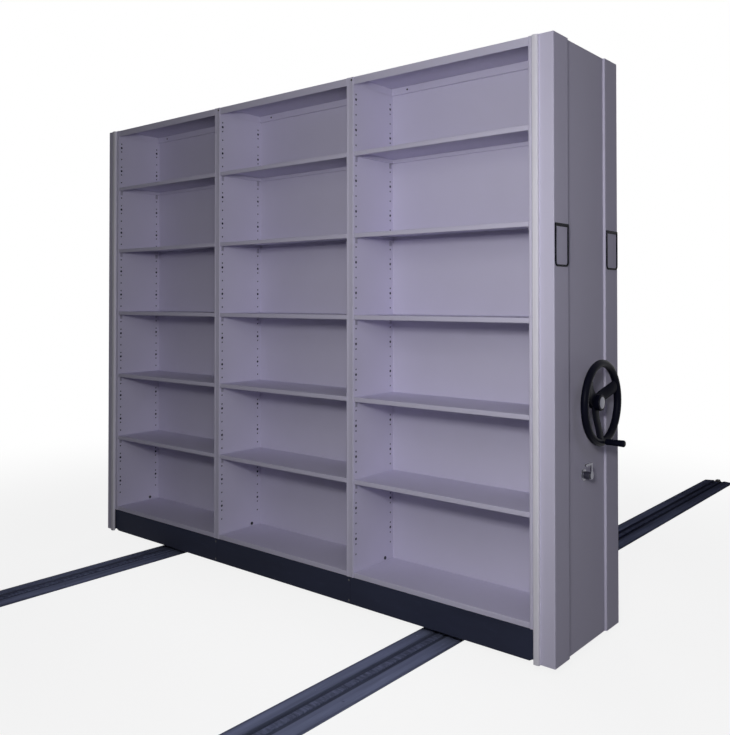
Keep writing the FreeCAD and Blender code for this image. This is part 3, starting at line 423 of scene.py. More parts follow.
def punched(run, closed, crossings, rows, spots, radii):
    """Grid of (distance along a section, place along the piece) with round holes.

    A hole sits on a grid point. The four faces round it give way to a ring of eight faces
    between those faces' outer corners and a circle. Returns the grid's point numbers, all
    places, the faces and the circles' point numbers, eight to a hole.
    """
    own = run[:-1] if closed else run
    across = np.unique(np.round(np.concatenate([own, crossings]), 7))
    grid = np.stack(np.meshgrid(across, rows, indexing="ij"), -1)
    index = np.arange(grid[..., 0].size).reshape(grid.shape[:2])
    faces = grid_faces(len(across), len(rows), wrap_rows=closed)
    column = np.abs(across - spots[:, :1]).argmin(1)
    row = np.abs(rows - spots[:, 1:]).argmin(1)
    whole = np.ones((len(faces) // (len(rows) - 1), len(rows) - 1), bool)
    for step_across, step_along in ((-1, -1), (-1, 0), (0, -1), (0, 0)):
        whole[column + step_across, row + step_along] = False
    angle = np.arange(HOLE_SIDES) * 2 * np.pi / HOLE_SIDES
    circle = np.column_stack([np.cos(angle), np.sin(angle)])
    edge = grid[column, row][:, None] + np.asarray(radii)[:, None, None] * circle
    rim = index.size + np.arange(edge[..., 0].size).reshape(-1, HOLE_SIDES)
    outer = index[column[:, None] + RING_ACROSS, row[:, None] + RING_ALONG]
    ring = [outer, np.roll(outer, -1, 1), np.roll(rim, -1, 1), rim]
    faces = [faces[whole.ravel()], np.stack(ring, -1).reshape(-1, 4)]
    return index, np.vstack([grid.reshape(-1, 2), edge.reshape(-1, 2)]), faces, rim


def punched_sheet(line, sheet, closed, crossings, rows, spots, radii, lid=0.0):
    """Folded sheet with holes, standing on Z: two skins, joined round the holes and at the edges.

    With a lid the upper end is closed, and the inner skin ends that much lower.
    """
    run = distances(line, closed)
    index, places, faces, rim = punched(run, closed, crossings, rows, spots, radii)
    inner_line = beside(line, sheet, closed)
    outer = np.column_stack([along(line, run, places[:, 0]), places[:, 1]])
    heights = np.minimum(places[:, 1], rows[-1] - lid)
    inner = np.column_stack([along(inner_line, run, places[:, 0]), heights])
    count = len(outer)
    bridge = [rim, np.roll(rim, -1, 1), np.roll(rim, -1, 1) + count, rim + count]
    blocks = faces + [block + count for block in faces] + [np.stack(bridge, -1).reshape(-1, 4)]
    edges = [index[:, 0]]
    if not closed:
        edges += [index[0], index[-1]]
    if lid:
        blocks += [index[None, :, -1], index[None, :, -1] + count]
    else:
        edges.append(index[:, -1])
    for edge in edges:
        loop = closed and len(edge) == len(index)
        start = edge if loop else edge[:-1]
        end = np.roll(edge, -1) if loop else edge[1:]
        blocks.append(np.column_stack([start, end, end + count, start + count]))
    return np.vstack([outer, inner]), blocks


def merge(shapes):
    """One shape from several: points stacked, corner numbers moved up by the points before them."""
    starts = np.cumsum([0] + [len(points) for points, _ in shapes])
    blocks = [block + start for (_, faces), start in zip(shapes, starts) for block in faces]
    return np.vstack([points for points, _ in shapes]), blocks


def repeated(shape, offsets):
    """Copies of a shape, one at each offset."""
    points, blocks = shape
    offsets = np.asarray(offsets, float)
    starts = (np.arange(len(offsets)) * len(points))[:, None, None]
    copies = [(starts + block).reshape(-1, block.shape[1]) for block in blocks]
    return (offsets[:, None] + points).reshape(-1, 3), copies


def mirrored(shape, axis, about=0.0):
    """Shape reflected in a plane across one axis, with its faces turned over."""
    points, blocks = shape
    points = points.copy()
    points[:, AXES.index(axis)] = 2 * about - points[:, AXES.index(axis)]
    return points, [block[:, ::-1] for block in blocks]


def put(name, shape, finish, body, replaced=(), sharp=35.0):
    """Make an object of a shape, with flat faces kept flat, and hang it on a body of the frame."""
    points, blocks = shape
    used = np.unique(np.concatenate([block.ravel() for block in blocks]))
    place = np.zeros(len(points), int)
    place[used] = np.arange(len(used))
    faces = [face for block in blocks for face in place[block].tolist()]
    mesh = bpy.data.meshes.new(name)
    mesh.from_pydata(points[used].tolist(), [], faces)
    work = bmesh.new()
    work.from_mesh(mesh)
    bmesh.ops.remove_doubles(work, verts=work.verts, dist=MERGE_DISTANCE)
    bmesh.ops.recalc_face_normals(work, faces=work.faces)
    work.to_mesh(mesh)
    work.free()
    mesh.shade_smooth()
    mesh.set_sharp_from_angle(angle=math.radians(sharp))
    mesh.materials.append(finish)
    piece = bpy.data.objects.new(name, mesh)
    bpy.context.scene.collection.objects.link(piece)
    level = piece.modifiers.new("flat_faces", "WEIGHTED_NORMAL")
    level.keep_sharp = True
    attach(piece, body)
    if replaced:
        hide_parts(*replaced)
    return piece


def put_grey(name, shape, node):
    """Piece of the grey sheet work, on the carriage, in place of a node's plain solid."""
    put(name, shape, grey_coat(), "carriage", [node])


def add(tree, kind, inputs, **settings):
    """Node of a kind, with its settings, whose inputs take a value or a link from a socket."""
    made = tree.nodes.new(kind)
    for name, value in settings.items():
        setattr(made, name, value)
    for name, value in inputs.items():
        if isinstance(value, bpy.types.NodeSocket):
            tree.links.new(value, made.inputs[name])
        else:
            made.inputs[name].default_value = value
    return made


def noise(tree, place, scale, detail=2.0, rough=0.5):
    """Noise height at a scale, in features per metre."""
    inputs = {"Vector": place, "Scale": scale, "Detail": detail, "Roughness": rough}
    return add(tree, "ShaderNodeTexNoise", inputs).outputs["Fac"]


def spread(tree, value, low, high, start=0.3, end=0.7):
    """Value between two limits, drawn from a noise's middle range."""
    inputs = {"Value": value, "From Min": start, "From Max": end, "To Min": low, "To Max": high}
    return add(tree, "ShaderNodeMapRange", inputs).outputs["Result"]


def ramp(tree, value, stops):
    """Colour from a value, by (position, colour) stops."""
    made = add(tree, "ShaderNodeValToRGB", {"Fac": value})
    made.color_ramp.elements[0].position = stops[0][0]
    made.color_ramp.elements[0].color = (*stops[0][1], 1.0)
    made.color_ramp.elements[1].position = stops[-1][0]
    made.color_ramp.elements[1].color = (*stops[-1][1], 1.0)
    for position, colour in stops[1:-1]:
        made.color_ramp.elements.new(position).color = (*colour, 1.0)
    return made.outputs["Color"]


def shade(colour, factor):
    """Colour made darker or lighter by a factor."""
    return tuple(min(1.0, channel * factor) for channel in colour)


def finish(
    name,
    colour,
    change=0.05,
    patch=1.6,
    stretch=(1.0, 1.0, 1.0),
    rough=(0.36, 0.46),
    grain=900.0,
    grain_rise=0.00004,
    swell=3.0,
    swell_rise=0.0,
    metal=0.0,
    marks=0.0,
    mark_scale=40.0,
    gloss=0.5,
):
    """Procedural finish on object coordinates.

    A slow noise, stretched along the piece, moves colour and roughness; a fine one raises the
    grain; a broad one swells the sheet; and marks are the peaks of a fourth, as lighter scuffs.
    """
    material = bpy.data.materials.new(name)
    material.use_nodes = True
    tree = material.node_tree
    shader = tree.nodes["Principled BSDF"]
    place = add(tree, "ShaderNodeTexCoord", {}).outputs["Object"]
    laid = add(tree, "ShaderNodeMapping", {"Vector": place, "Scale": stretch}).outputs["Vector"]
    slow = noise(tree, laid, patch, detail=4.0, rough=0.55)
    stops = [(TONE_RANGE[0], shade(colour, 1 - change)), (TONE_RANGE[1], shade(colour, 1 + change))]
    base = ramp(tree, slow, stops)
    if marks:
        peaks = noise(tree, laid, mark_scale, detail=6.0, rough=0.65)
        scuffed = spread(tree, peaks, 0.0, marks, *SCUFF_RANGE)
        mixed = add(tree, "ShaderNodeMix", {0: scuffed, 6: base}, data_type="RGBA")
        mixed.inputs[7].default_value = (*shade(colour, SCUFF_TONE), 1.0)
        base = mixed.outputs[2]
    tree.links.new(base, shader.inputs["Base Color"])
    tree.links.new(spread(tree, slow, *rough), shader.inputs["Roughness"])
    shader.inputs["Metallic"].default_value = metal
    shader.inputs["Specular IOR Level"].default_value = gloss
    fine = noise(tree, laid, grain)
    bump = add(tree, "ShaderNodeBump", {"Height": fine, "Strength": 1.0, "Distance": grain_rise})
    if swell_rise:
        broad = noise(tree, place, swell, detail=1.0, rough=0.4)
        under = add(tree, "ShaderNodeBump", {"Height": broad, "Strength": 1.0, "Distance": swell_rise})
        tree.links.new(under.outputs["Normal"], bump.inputs["Normal"])
    tree.links.new(bump.outputs["Normal"], shader.inputs["Normal"])
    return material


def coat(name, colour, **settings):
    """Finish of a name in one of the panel's colours, made the first time that it is asked for."""
    made = bpy.data.materials.get(name)
    return made or finish(name, tuple(getattr(bpy.context.scene.shelving_colours, colour)), **settings)


def grey_coat():
    """Satin lilac-grey powder coat with a fine orange peel and a slight swell of the sheet."""
    return coat(
        "satin_grey_coat",
        "grey_coat",
        change=0.035,
        patch=1.4,
        rough=(0.46, 0.56),
        swell=2.6,
        swell_rise=0.0012,
        gloss=0.10,
    )


def black_coat():
    """Blue-black powder coat, dusty in patches."""
    return coat(
        "satin_black_coat",
        "black_coat",
        change=0.18,
        patch=5.0,
        stretch=(0.35, 1.0, 1.0),
        rough=(0.55, 0.70),
        grain=800.0,
        grain_rise=0.00005,
        marks=0.10,
        gloss=0.06,
    )


def rail_coat():
    """Dark slate coat, rubbed in streaks along the rail, with painted shade in the groove and along the
    edges.
    """
    made = bpy.data.materials.get("rubbed_slate_coat")
    if made:
        return made
    made = coat(
        "rubbed_slate_coat",
        "rail_coat",
        change=0.25,
        patch=26.0,
        stretch=(1.0, 0.06, 1.0),
        rough=(0.50, 0.66),
        grain=500.0,
        grain_rise=0.00006,
        marks=0.25,
        gloss=0.0,
    )
    low, high = box("rail_right")
    # Painted shade in the groove beside the running bar and along the rail's outer edges.
    paint_rail_shade(made, (low + high)[0] / 2, (high - low)[0] / 2)
    return made


def paint_rail_shade(material, middle, half):
    """Painted shade: darken a rail's colour by the distance from the rail's middle line, darkest in the
    groove and along the outer edges.
    """
    tree = material.node_tree
    coat = tree.nodes["Principled BSDF"].inputs["Base Color"]
    base = coat.links[0].from_socket
    place = add(tree, "ShaderNodeTexCoord", {}).outputs["Object"]
    across = add(tree, "ShaderNodeSeparateXYZ", {"Vector": place}).outputs["X"]
    for operation, by in (("ABSOLUTE", 0.0), ("SUBTRACT", middle), ("ABSOLUTE", 0.0), ("DIVIDE", half)):
        across = add(tree, "ShaderNodeMath", {0: across, 1: by}, operation=operation).outputs[0]
    # Painted shade as a share of the colour: darkest in the groove, near full on the ramps, darker again at
    # the outer edges.
    groove_to_edge = [(0.32, 0.35), (0.39, 0.95), (0.70, 1.05), (0.86, 1.0), (0.93, 0.65)]
    groove_edge_shade = ramp(tree, across, [(position, (level,) * 3) for position, level in groove_to_edge])
    mixed = add(tree, "ShaderNodeMix", {0: 1.0, 6: base, 7: groove_edge_shade}, data_type="RGBA", blend_type="MULTIPLY")
    tree.links.new(mixed.outputs[2], coat)


def bar_steel():
    """Drawn steel, worn across in short bright strokes."""
    return coat(
        "rolled_bar_steel",
        "bar_steel",
        change=0.35,
        patch=90.0,
        stretch=(0.30, 1.0, 1.0),
        rough=(0.50, 0.66),
        grain=900.0,
        grain_rise=0.00004,
        marks=0.20,
        gloss=0.0,
    )


def seal_finish():
    """Pale extruded seal with faint streaks up its length."""
    return coat(
        "pale_seal",
        "seal",
        change=0.05,
        patch=60.0,
        stretch=(1.0, 1.0, 0.03),
        rough=(0.50, 0.62),
        grain=1200.0,
        grain_rise=0.00003,
        gloss=0.12,
    )


def plastic():
    """Black moulded plastic with a fine grain."""
    return coat(
        "grained_black_plastic",
        "plastic",
        change=0.15,
        patch=12.0,
        rough=(0.30, 0.42),
        grain=1500.0,
        grain_rise=0.00002,
        gloss=0.035,
    )


def chrome():
    """Bright plating with faint wiping marks."""
    return coat(
        "bright_chrome",
        "chrome",
        change=0.05,
        patch=60.0,
        rough=(0.12, 0.20),
        grain=1800.0,
        grain_rise=0.000006,
        metal=1.0,
    )


def rubber():
    """Matt black buffer rubber."""
    return coat(
        "buffer_rubber",
        "rubber",
        change=0.2,
        patch=30.0,
        rough=(0.70, 0.82),
        grain=700.0,
        grain_rise=0.0001,
    )


def iron():
    """Cast iron with a rough skin."""
    return coat(
        "cast_wheel_iron",
        "iron",
        change=0.2,
        patch=40.0,
        rough=(0.42, 0.60),
        grain=420.0,
        grain_rise=0.00016,
        metal=0.75,
    )


def steel():
    """Machined steel with turning marks round the X axis."""
    return coat(
        "turned_steel",
        "steel",
        change=0.1,
        patch=50.0,
        stretch=(8.0, 1.0, 1.0),
        rough=(0.24, 0.40),
        grain=400.0,
        grain_rise=0.00003,
        metal=1.0,
    )


def zinc():
    """Zinc plate, mottled."""
    return coat(
        "mottled_zinc",
        "zinc",
        change=0.12,
        patch=90.0,
        rough=(0.32, 0.50),
        grain=900.0,
        grain_rise=0.00003,
        metal=0.4,
    )


def bolt_finish():
    """Blackened steel."""
    return coat(
        "blackened_steel",
        "bolt",
        change=0.2,
        patch=120.0,
        rough=(0.32, 0.46),
        grain=1200.0,
        grain_rise=0.00003,
        metal=0.5,
    )


def upright_section(low, high, sizes):
    """Closed section of an upright from above: a rounded oblong with a channel in each narrow face."""
    half, depth = (high - low)[:2] / 2
    flat = sizes.channel_half
    slope = flat + sizes.channel_slope
    sunk = depth - sizes.channel_depth
    left = [(-half, -depth), (-slope, -depth), (-flat, -sunk)]
    right = [(flat, -sunk), (slope, -depth), (half, -depth)]
    face = np.array(left + right)
    corners = np.vstack([face, -face])
    radii = np.tile([sizes.bend] + [CHANNEL_BEND] * 4 + [sizes.bend], 2)
    return rounded_line(corners, radii, closed=True) + (low + high)[:2] / 2


def upright_shape(node, sizes):
    """Upright with four hole columns on each wall: clip holes a pitch apart, two large holes a shelf."""
    low, high = box(node)
    section = upright_section(low, high, sizes)
    run = distances(section, True)
    deck_top = box("base_deck_1")[1][2]
    pitch = sizes.hole_pitch
    datum = box("shelves_bay_1")[1][2] - sizes.hole_drop
    first = datum - np.floor((datum - deck_top - sizes.hole_margin) / pitch) * pitch
    last = datum + np.floor((high[2] - sizes.hole_margin - datum) / pitch) * pitch
    small = np.arange(first, last + pitch / 2, pitch)
    shelf = np.arange(-SHELVES, 2)[:, None] * sizes.shelf_pitch
    large = (datum + shelf + np.array(LARGE_HOLES) * pitch).ravel()
    large = large[(large > first) & (large < last)]
    between = np.arange(first - pitch / 4, last + 3 * pitch / 8, pitch / 4)
    rows = np.concatenate([[low[2]], between, [high[2]]])
    outer = (high - low)[1] / 2 - sizes.column_outer
    middle = (high + low)[1] / 2
    columns = np.array([-outer, -sizes.column_inner, sizes.column_inner, outer])
    # Each of the section's twelve corners takes this many points: the walls follow the sixth and the last.
    corner = ROUND_STEPS + 1
    right = run[6 * corner - 1] + (middle + columns - section[6 * corner - 1, 1])
    left = run[12 * corner - 1] + (section[12 * corner - 1, 1] - middle - columns)
    walls = np.concatenate([right, left])
    strip = pitch / 5
    crossings = (walls[:, None] + np.array([-strip, 0.0, strip])).ravel()
    heights = np.concatenate([small, large])
    spots = np.stack(np.meshgrid(walls, heights, indexing="ij"), -1).reshape(-1, 2)
    radius = np.repeat([sizes.hole_radius, sizes.key_hole_radius], [len(small), len(large)])
    radii = np.tile(radius, len(walls))
    return punched_sheet(section, sizes.sheet, True, crossings, rows, spots, radii, lid=sizes.sheet)


def tray_shape(low, high, lip, sizes, hem):
    """Sheet tray: the flat, a bend, the edge, a bend and the return, run round a rounded oblong."""
    top = high[2]
    start = sizes.bend * 2.5
    line = [(start, top), (0.0, top), (0.0, top - lip)]
    if hem:
        line.append((hem, top - lip))
    outer = rounded_line(line, sizes.bend)
    stations = np.vstack([outer, beside(outer, sizes.sheet)[::-1]])
    return rounded_stack(low[:2], high[:2], sizes.bend * 1.2, stations)


class SHELVING_OT_uprights(bpy.types.Operator):
    """Build the four punched uprights and the black sheets inside them that paint the shade behind their
    holes
    """

    bl_idname = "shelving.uprights"
    bl_label = "Uprights"

    def execute(self, context):
        sizes = context.scene.shelving_sizes
        for number in UPRIGHTS:
            node = f"upright_{number}"
            put_grey(f"punched_{node}", upright_shape(node, sizes), node)
        # Painted shade: a black sheet inside each upright, a little in from its faces, darkens what shows
        # through the holes.
        inset = sizes.shade_lining_inset
        shade_linings = []
        for number in UPRIGHTS:
            low, high = box(f"upright_{number}")
            stations = [(inset, low[2] + inset), (inset, high[2] - inset)]
            shade_linings.append(rounded_stack(low[:2], high[:2], sizes.bend, stations))
        put("upright_linings", merge(shade_linings), black_coat(), "carriage")
        return {"FINISHED"}


class SHELVING_OT_trays(bpy.types.Operator):
    """Build the shelves, base decks and top panels as folded trays"""

    bl_idname = "shelving.trays"
    bl_label = "Shelves, decks and tops"

    def execute(self, context):
        sizes = context.scene.shelving_sizes
        gap = box("back_panel_1")[1][1] + BACK_GAP
        drops = np.zeros((SHELVES, 3))
        drops[:, 2] = -sizes.shelf_pitch * np.arange(SHELVES)
        for bay in BAYS:
            node = f"shelves_bay_{bay}"
            low, high = box(node)
            halves = [(low[1], -gap), (gap, high[1])]
            shelves = []
            for near, far in halves:
                corner = np.array([low[0], near, 0.0])
                top = np.array([high[0], far, high[2]])
                one = tray_shape(corner, top, sizes.shelf_lip, sizes, sizes.return_lip)
                shelves.append(repeated(one, drops))
            put_grey(f"folded_{node}", merge(shelves), node)
            node = f"base_deck_{bay}"
            low, high = box(node)
            decks = []
            for near, far in halves:
                corner = np.array([low[0], near, low[2]])
                top = np.array([high[0], far, high[2]])
                decks.append(tray_shape(corner, top, high[2] - low[2], sizes, sizes.return_lip))
            put_grey(f"folded_{node}", merge(decks), node)
            node = f"top_panel_{bay}"
            low, high = box(node)
            put_grey(f"folded_{node}", tray_shape(low, high, high[2] - low[2], sizes, 0.0), node)
        return {"FINISHED"}


class SHELVING_OT_top_rails(bpy.types.Operator):
    """Build the rails under the tops and their screws"""

    bl_idname = "shelving.top_rails"
    bl_label = "Top rails"

    def execute(self, context):
        sizes = context.scene.shelving_sizes
        low, high = box("top_rails")
        ring = rounded_line(oblong(low[1], low[2], high[1], high[2]), sizes.bend, closed=True)
        rails = []
        spots = []
        for bay in BAYS:
            cover_low, cover_high = box(f"top_panel_{bay}")
            ends = (cover_low[0] + sizes.sheet * 1.5, cover_high[0] - sizes.sheet * 1.5)
            rails.append(prism(ring, ends, "yzx"))
            for end, step in ((ends[0], sizes.screw_inset), (ends[1], -sizes.screw_inset)):
                spots.append((end + step, 0.0, (low[2] + high[2]) / 2))
        put_grey("folded_top_rails", merge(rails), "top_rails")
        front = dome_head(sizes.screw_radius, SCREW_PROUD, (0.0, low[1], 0.0), -1, sides=14)
        screws = merge([repeated(front, spots), repeated(mirrored(front, "y"), spots)])
        put("top_rail_screws", screws, bolt_finish(), "carriage")
        return {"FINISHED"}


def dome_head(radius, proud, centre, way, axis="y", sides=16):
    """Round head: a short wall, then a dome that falls off as a quarter ellipse to a small flat."""
    turn = np.linspace(0, 0.45 * np.pi, 5)
    wall = 0.35 * proud
    profile = np.column_stack([wall + (proud - wall) * np.sin(turn), radius * np.cos(turn) ** 0.7])
    profile = np.vstack([[0.0, radius], profile])
    profile[:, 0] *= way
    return turned(profile, centre, axis, sides)


class SHELVING_OT_back_panels(bpy.types.Operator):
    """Coat the three back panels"""

    bl_idname = "shelving.back_panels"
    bl_label = "Back panels"

    def execute(self, context):
        for bay in BAYS:
            dress(f"back_panel_{bay}", grey_coat())
        return {"FINISHED"}


def dress(node, material):
    """Give a node's own solid a finish."""
    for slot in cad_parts[node].material_slots:
        slot.material = material


class SHELVING_OT_end_panels(bpy.types.Operator):
    """Build the drive panel with its raised bands, and the plain panel"""

    bl_idname = "shelving.end_panels"
    bl_label = "End panels"

    def execute(self, context):
        sizes = context.scene.shelving_sizes
        low, high = box("end_panel_drive")
        shaft = sum(box("hand_wheel_shaft")) / 2
        barrel = sum(box("lock_barrel")) / 2
        field = high[0] - sizes.band_step
        foot = sizes.band_width + sizes.band_slope
        corners = [
            (low[0], low[1]),
            (high[0], low[1]),
            (high[0], low[1] + sizes.band_width),
            (field, low[1] + foot),
            (field, high[1] - foot),
            (high[0], high[1] - sizes.band_width),
            (high[0], high[1]),
            (low[0], high[1]),
        ]
        bend = sizes.panel_bend
        line = rounded_line(corners, [bend, bend] + [BAND_BEND] * 4 + [bend, bend])
        run = distances(line, False)
        # The middle field starts after the third rounded corner, and both holes are reckoned from there.
        start = 1 + 3 * (ROUND_STEPS + 1)
        spots = np.array([(run[start] + hole[1] - line[start, 1], hole[2]) for hole in (shaft, barrel)])
        steps = np.array([-PANEL_HOLE_FIELD, 0.0, PANEL_HOLE_FIELD])
        crossings = np.concatenate([spots[0, 0] + steps, spots[1, 0] + steps])
        rows = np.concatenate([[low[2]], spots[1, 1] + steps, spots[0, 1] + steps, [high[2]]])
        skin = punched_sheet(line, sizes.panel_skin, False, crossings, rows, spots, [SHAFT_HOLE, LOCK_HOLE])
        lid = panel_lid(line, high[2], sizes)
        put_grey("folded_end_panel_drive", merge([skin, lid]), "end_panel_drive")
        low, high = box("end_panel_plain")
        corners = [(high[0], high[1]), (low[0], high[1]), (low[0], low[1]), (high[0], low[1])]
        line = rounded_line(corners, bend)
        skin = folded(line, sizes.panel_skin, (low[2], high[2]), "xyz")
        lid = panel_lid(line, high[2], sizes)
        put_grey("folded_end_panel_plain", merge([skin, lid]), "end_panel_plain")
        return {"FINISHED"}


def panel_lid(line, top, sizes):
    """Plate that closes an end panel just below its upper edge."""
    inner = beside(line, sizes.panel_skin * 0.8)
    return prism(inner, (top - LID_DROP - LID_SHEET, top - LID_DROP), "xyz")


class SHELVING_OT_kick_beams(bpy.types.Operator):
    """Build the folded kick beams in three lengths with cut outer corners"""

    bl_idname = "shelving.kick_beams"
    bl_label = "Kick beams"

    def execute(self, context):
        sizes = context.scene.shelving_sizes
        low, high = box("kick_beam_front")
        corners = [(high[1], high[2]), (low[1], high[2]), (low[1], low[2]), (high[1], low[2])]
        line = rounded_line(corners, sizes.kick_sheet * 1.4)
        seams = [sum(box(f"upright_{number}"))[0] / 2 for number in UPRIGHTS[1:-1]]
        half = sizes.kick_seam / 2
        spans = [
            (low[0], low[0] + sizes.kick_corner, seams[0] - half),
            (seams[0] + half, seams[1] - half),
            (seams[1] + half, high[0] - sizes.kick_corner, high[0]),
        ]
        points, blocks = merge([folded(line, sizes.kick_sheet, span, "yzx") for span in spans])
        outer = np.maximum(low[0] - points[:, 0], points[:, 0] - high[0]) + sizes.kick_corner
        lift = sizes.kick_corner_rise * np.clip(outer / sizes.kick_corner, 0, 1)
        zone = 3 * sizes.kick_corner_rise
        points[:, 2] += lift * np.clip(1 - (points[:, 2] - low[2]) / zone, 0, 1)
        front = (points, blocks)
        for node, shape in (("kick_beam_front", front), ("kick_beam_rear", mirrored(front, "y"))):
            put(f"folded_{node}", shape, black_coat(), "carriage", [node])
        return {"FINISHED"}


class SHELVING_OT_rails(bpy.types.Operator):
    """Build the ramped floor rails with anchor holes, the running bars and the end stops"""

    bl_idname = "shelving.rails"
    bl_label = "Floor rails"

    def execute(self, context):
        sizes = context.scene.shelving_sizes
        for hand in ("left", "right"):
            node = f"rail_{hand}"
            low, high = box(node)
            put(f"ramped_{node}", rail_shape(low, high, sizes), rail_coat(), "track", [node])
            node = f"running_bar_{hand}"
            low, high = box(node)
            rounds = [CUT_EDGE, CUT_EDGE, BAR_ROUND, BAR_ROUND]
            ring = rounded_line(oblong(low[0], low[2], high[0], high[2]), rounds, closed=True)
            bar = prism(ring, (low[1], high[1]), "xzy")
            put(f"drawn_{node}", bar, bar_steel(), "track", [node])
        low, high = box("rail_end_stops")
        bar_low, bar_high = box("running_bar_left")
        width = (bar_high - bar_low)[0]
        tall = high[2] - low[2]
        edge = STOP_EDGE
        stations = [(0.0, 0.0), (0.0, tall - edge), (edge * 0.3, tall - edge * 0.3), (edge, tall)]
        stop = rounded_stack((-width / 2, -STOP_HALF), (width / 2, STOP_HALF), STOP_CORNER, stations)
        middles = (low[0] + width / 2, high[0] - width / 2)
        spots = [(x, y, low[2]) for x in middles for y in (low[1] + STOP_HALF, high[1] - STOP_HALF)]
        stops = repeated(stop, spots)
        put("moulded_end_stops", stops, rubber(), "track", ["rail_end_stops"])
        return {"FINISHED"}


def rail_shape(low, high, sizes):
    """Rail: two ramps beside a groove, carried along Y, with blind anchor holes in the ramps."""
    middle = (low + high)[0] / 2
    half = (high - low)[0] / 2
    groove = sizes.groove_half
    side = [(-half, 0.0), (-half, sizes.ramp_edge), (-groove, high[2]), (-groove, sizes.groove_floor)]
    corners = np.vstack([side, np.array(side[::-1]) * (-1, 1)])
    section = rounded_line(corners, RAIL_ROUNDS + RAIL_ROUNDS[::-1], closed=True)
    run = distances(section, True)
    corner = ROUND_STEPS + 1
    slant = (half - groove) / np.hypot(half - groove, high[2] - sizes.ramp_edge)
    left_end = 2 * corner - 1
    right_start = 6 * corner
    left = run[left_end] + (-sizes.anchor_offset - section[left_end, 0]) / slant
    right = run[right_start] - (section[right_start, 0] - sizes.anchor_offset) / slant
    across = np.array([left, right])
    pitch = sizes.anchor_pitch
    first = math.ceil((low[1] + ANCHOR_MARGIN) / pitch - 0.5) * pitch + pitch / 2
    places = np.arange(first, high[1] - ANCHOR_MARGIN, pitch)
    reach = 2 * sizes.anchor_radius
    steps = np.array([-reach, 0.0, reach])
    rows = np.concatenate([[low[1]], (places[:, None] + steps).ravel(), [high[1]]])
    spots = np.stack(np.meshgrid(across, places, indexing="ij"), -1).reshape(-1, 2)
    crossings = (across[:, None] + steps).ravel()
    radii = np.full(len(spots), sizes.anchor_radius)
    index, where, faces, rim = punched(run, True, crossings, rows, spots, radii)
    flat = along(section, run, where[:, 0])
    points = np.column_stack([flat[:, 0] + middle, where[:, 1], flat[:, 1] + low[2]])
    floor = points[rim.ravel()].copy()
    floor[:, 2] = low[2] + ANCHOR_FLOOR
    deep = len(points) + np.arange(rim.size).reshape(rim.shape)
    wall = np.stack([rim, np.roll(rim, -1, 1), np.roll(deep, -1, 1), deep], -1).reshape(-1, 4)
    ends = np.array([index[:, 0], index[:, -1]])
    return np.vstack([points, floor]), faces + [wall, deep, ends]


class SHELVING_OT_seal_strips(bpy.types.Operator):
    """Build the pale seal strips on the vertical corners"""

    bl_idname = "shelving.seal_strips"
    bl_label = "Seal strips"

    def execute(self, context):
        sizes = context.scene.shelving_sizes
        face = box("upright_1")[0][1]
        for hand in ("left", "right"):
            node = f"seal_strips_{hand}"
            low, high = box(node)
            corners = [(low[0], face), (low[0], low[1]), (high[0], low[1]), (high[0], face)]
            rounds = [CUT_EDGE, sizes.strip_round, sizes.strip_round, CUT_EDGE]
            ring = rounded_line(corners, rounds, closed=True, steps=6)
            front = prism(ring, (low[2], high[2]), "xyz")
            both = merge([front, mirrored(front, "y")])
            put(f"extruded_{node}", both, seal_finish(), "carriage", [node])
        return {"FINISHED"}


class SHELVING_OT_card_frames(bpy.types.Operator):
    """Build the two card frames on the drive panel"""

    bl_idname = "shelving.card_frames"
    bl_label = "Card frames"

    def execute(self, context):
        sizes = context.scene.shelving_sizes
        low, high = box("card_frames")
        margin = box("end_panel_drive")[1][1] - high[1]
        width = sizes.band_width - 2 * margin
        spans = ((low[1], low[1] + width), (high[1] - width, high[1]))
        frames = merge([card_frame(low, high, start, end, sizes) for start, end in spans])
        put("moulded_card_frames", frames, plastic(), "carriage", ["card_frames"])
        return {"FINISHED"}


def card_frame(low, high, start, end, sizes):
    """Card frame: a bead section carried round between an outer and an inner outline.

    A station is (share of the way from inner to outer outline, share of the thickness): a bead
    that rises from the panel, rounds over to a flat face, and comes down the same way.
    """
    border = sizes.card_border
    corner = sizes.card_corner
    rounds = [corner, corner, CARD_HEAD_ROUND, CARD_HEAD_ROUND]
    outer = rounded_line(oblong(start, low[2], end, high[2]), rounds, True, 6)
    window = oblong(start + border, low[2] + border, end - border, high[2] - sizes.card_head)
    rounds = [corner - border, corner - border, CARD_WINDOW_ROUND, CARD_WINDOW_ROUND]
    inner = rounded_line(window, rounds, True, 6)
    rising = [(0, 0), (0, 0.55), (0.06, 0.8), (0.2, 1)]
    falling = [(1 - share, rise) for share, rise in reversed(rising)]
    stations = np.array(rising + falling, float)
    share = stations[:, :1, None]
    ring = inner * (1 - share) + outer * share
    thick = high[0] - low[0]
    points = on_axes("yzx", ring[..., 0], ring[..., 1], low[0] + thick * stations[:, 1:])
    return points, [grid_faces(len(stations), len(outer), True, True)]


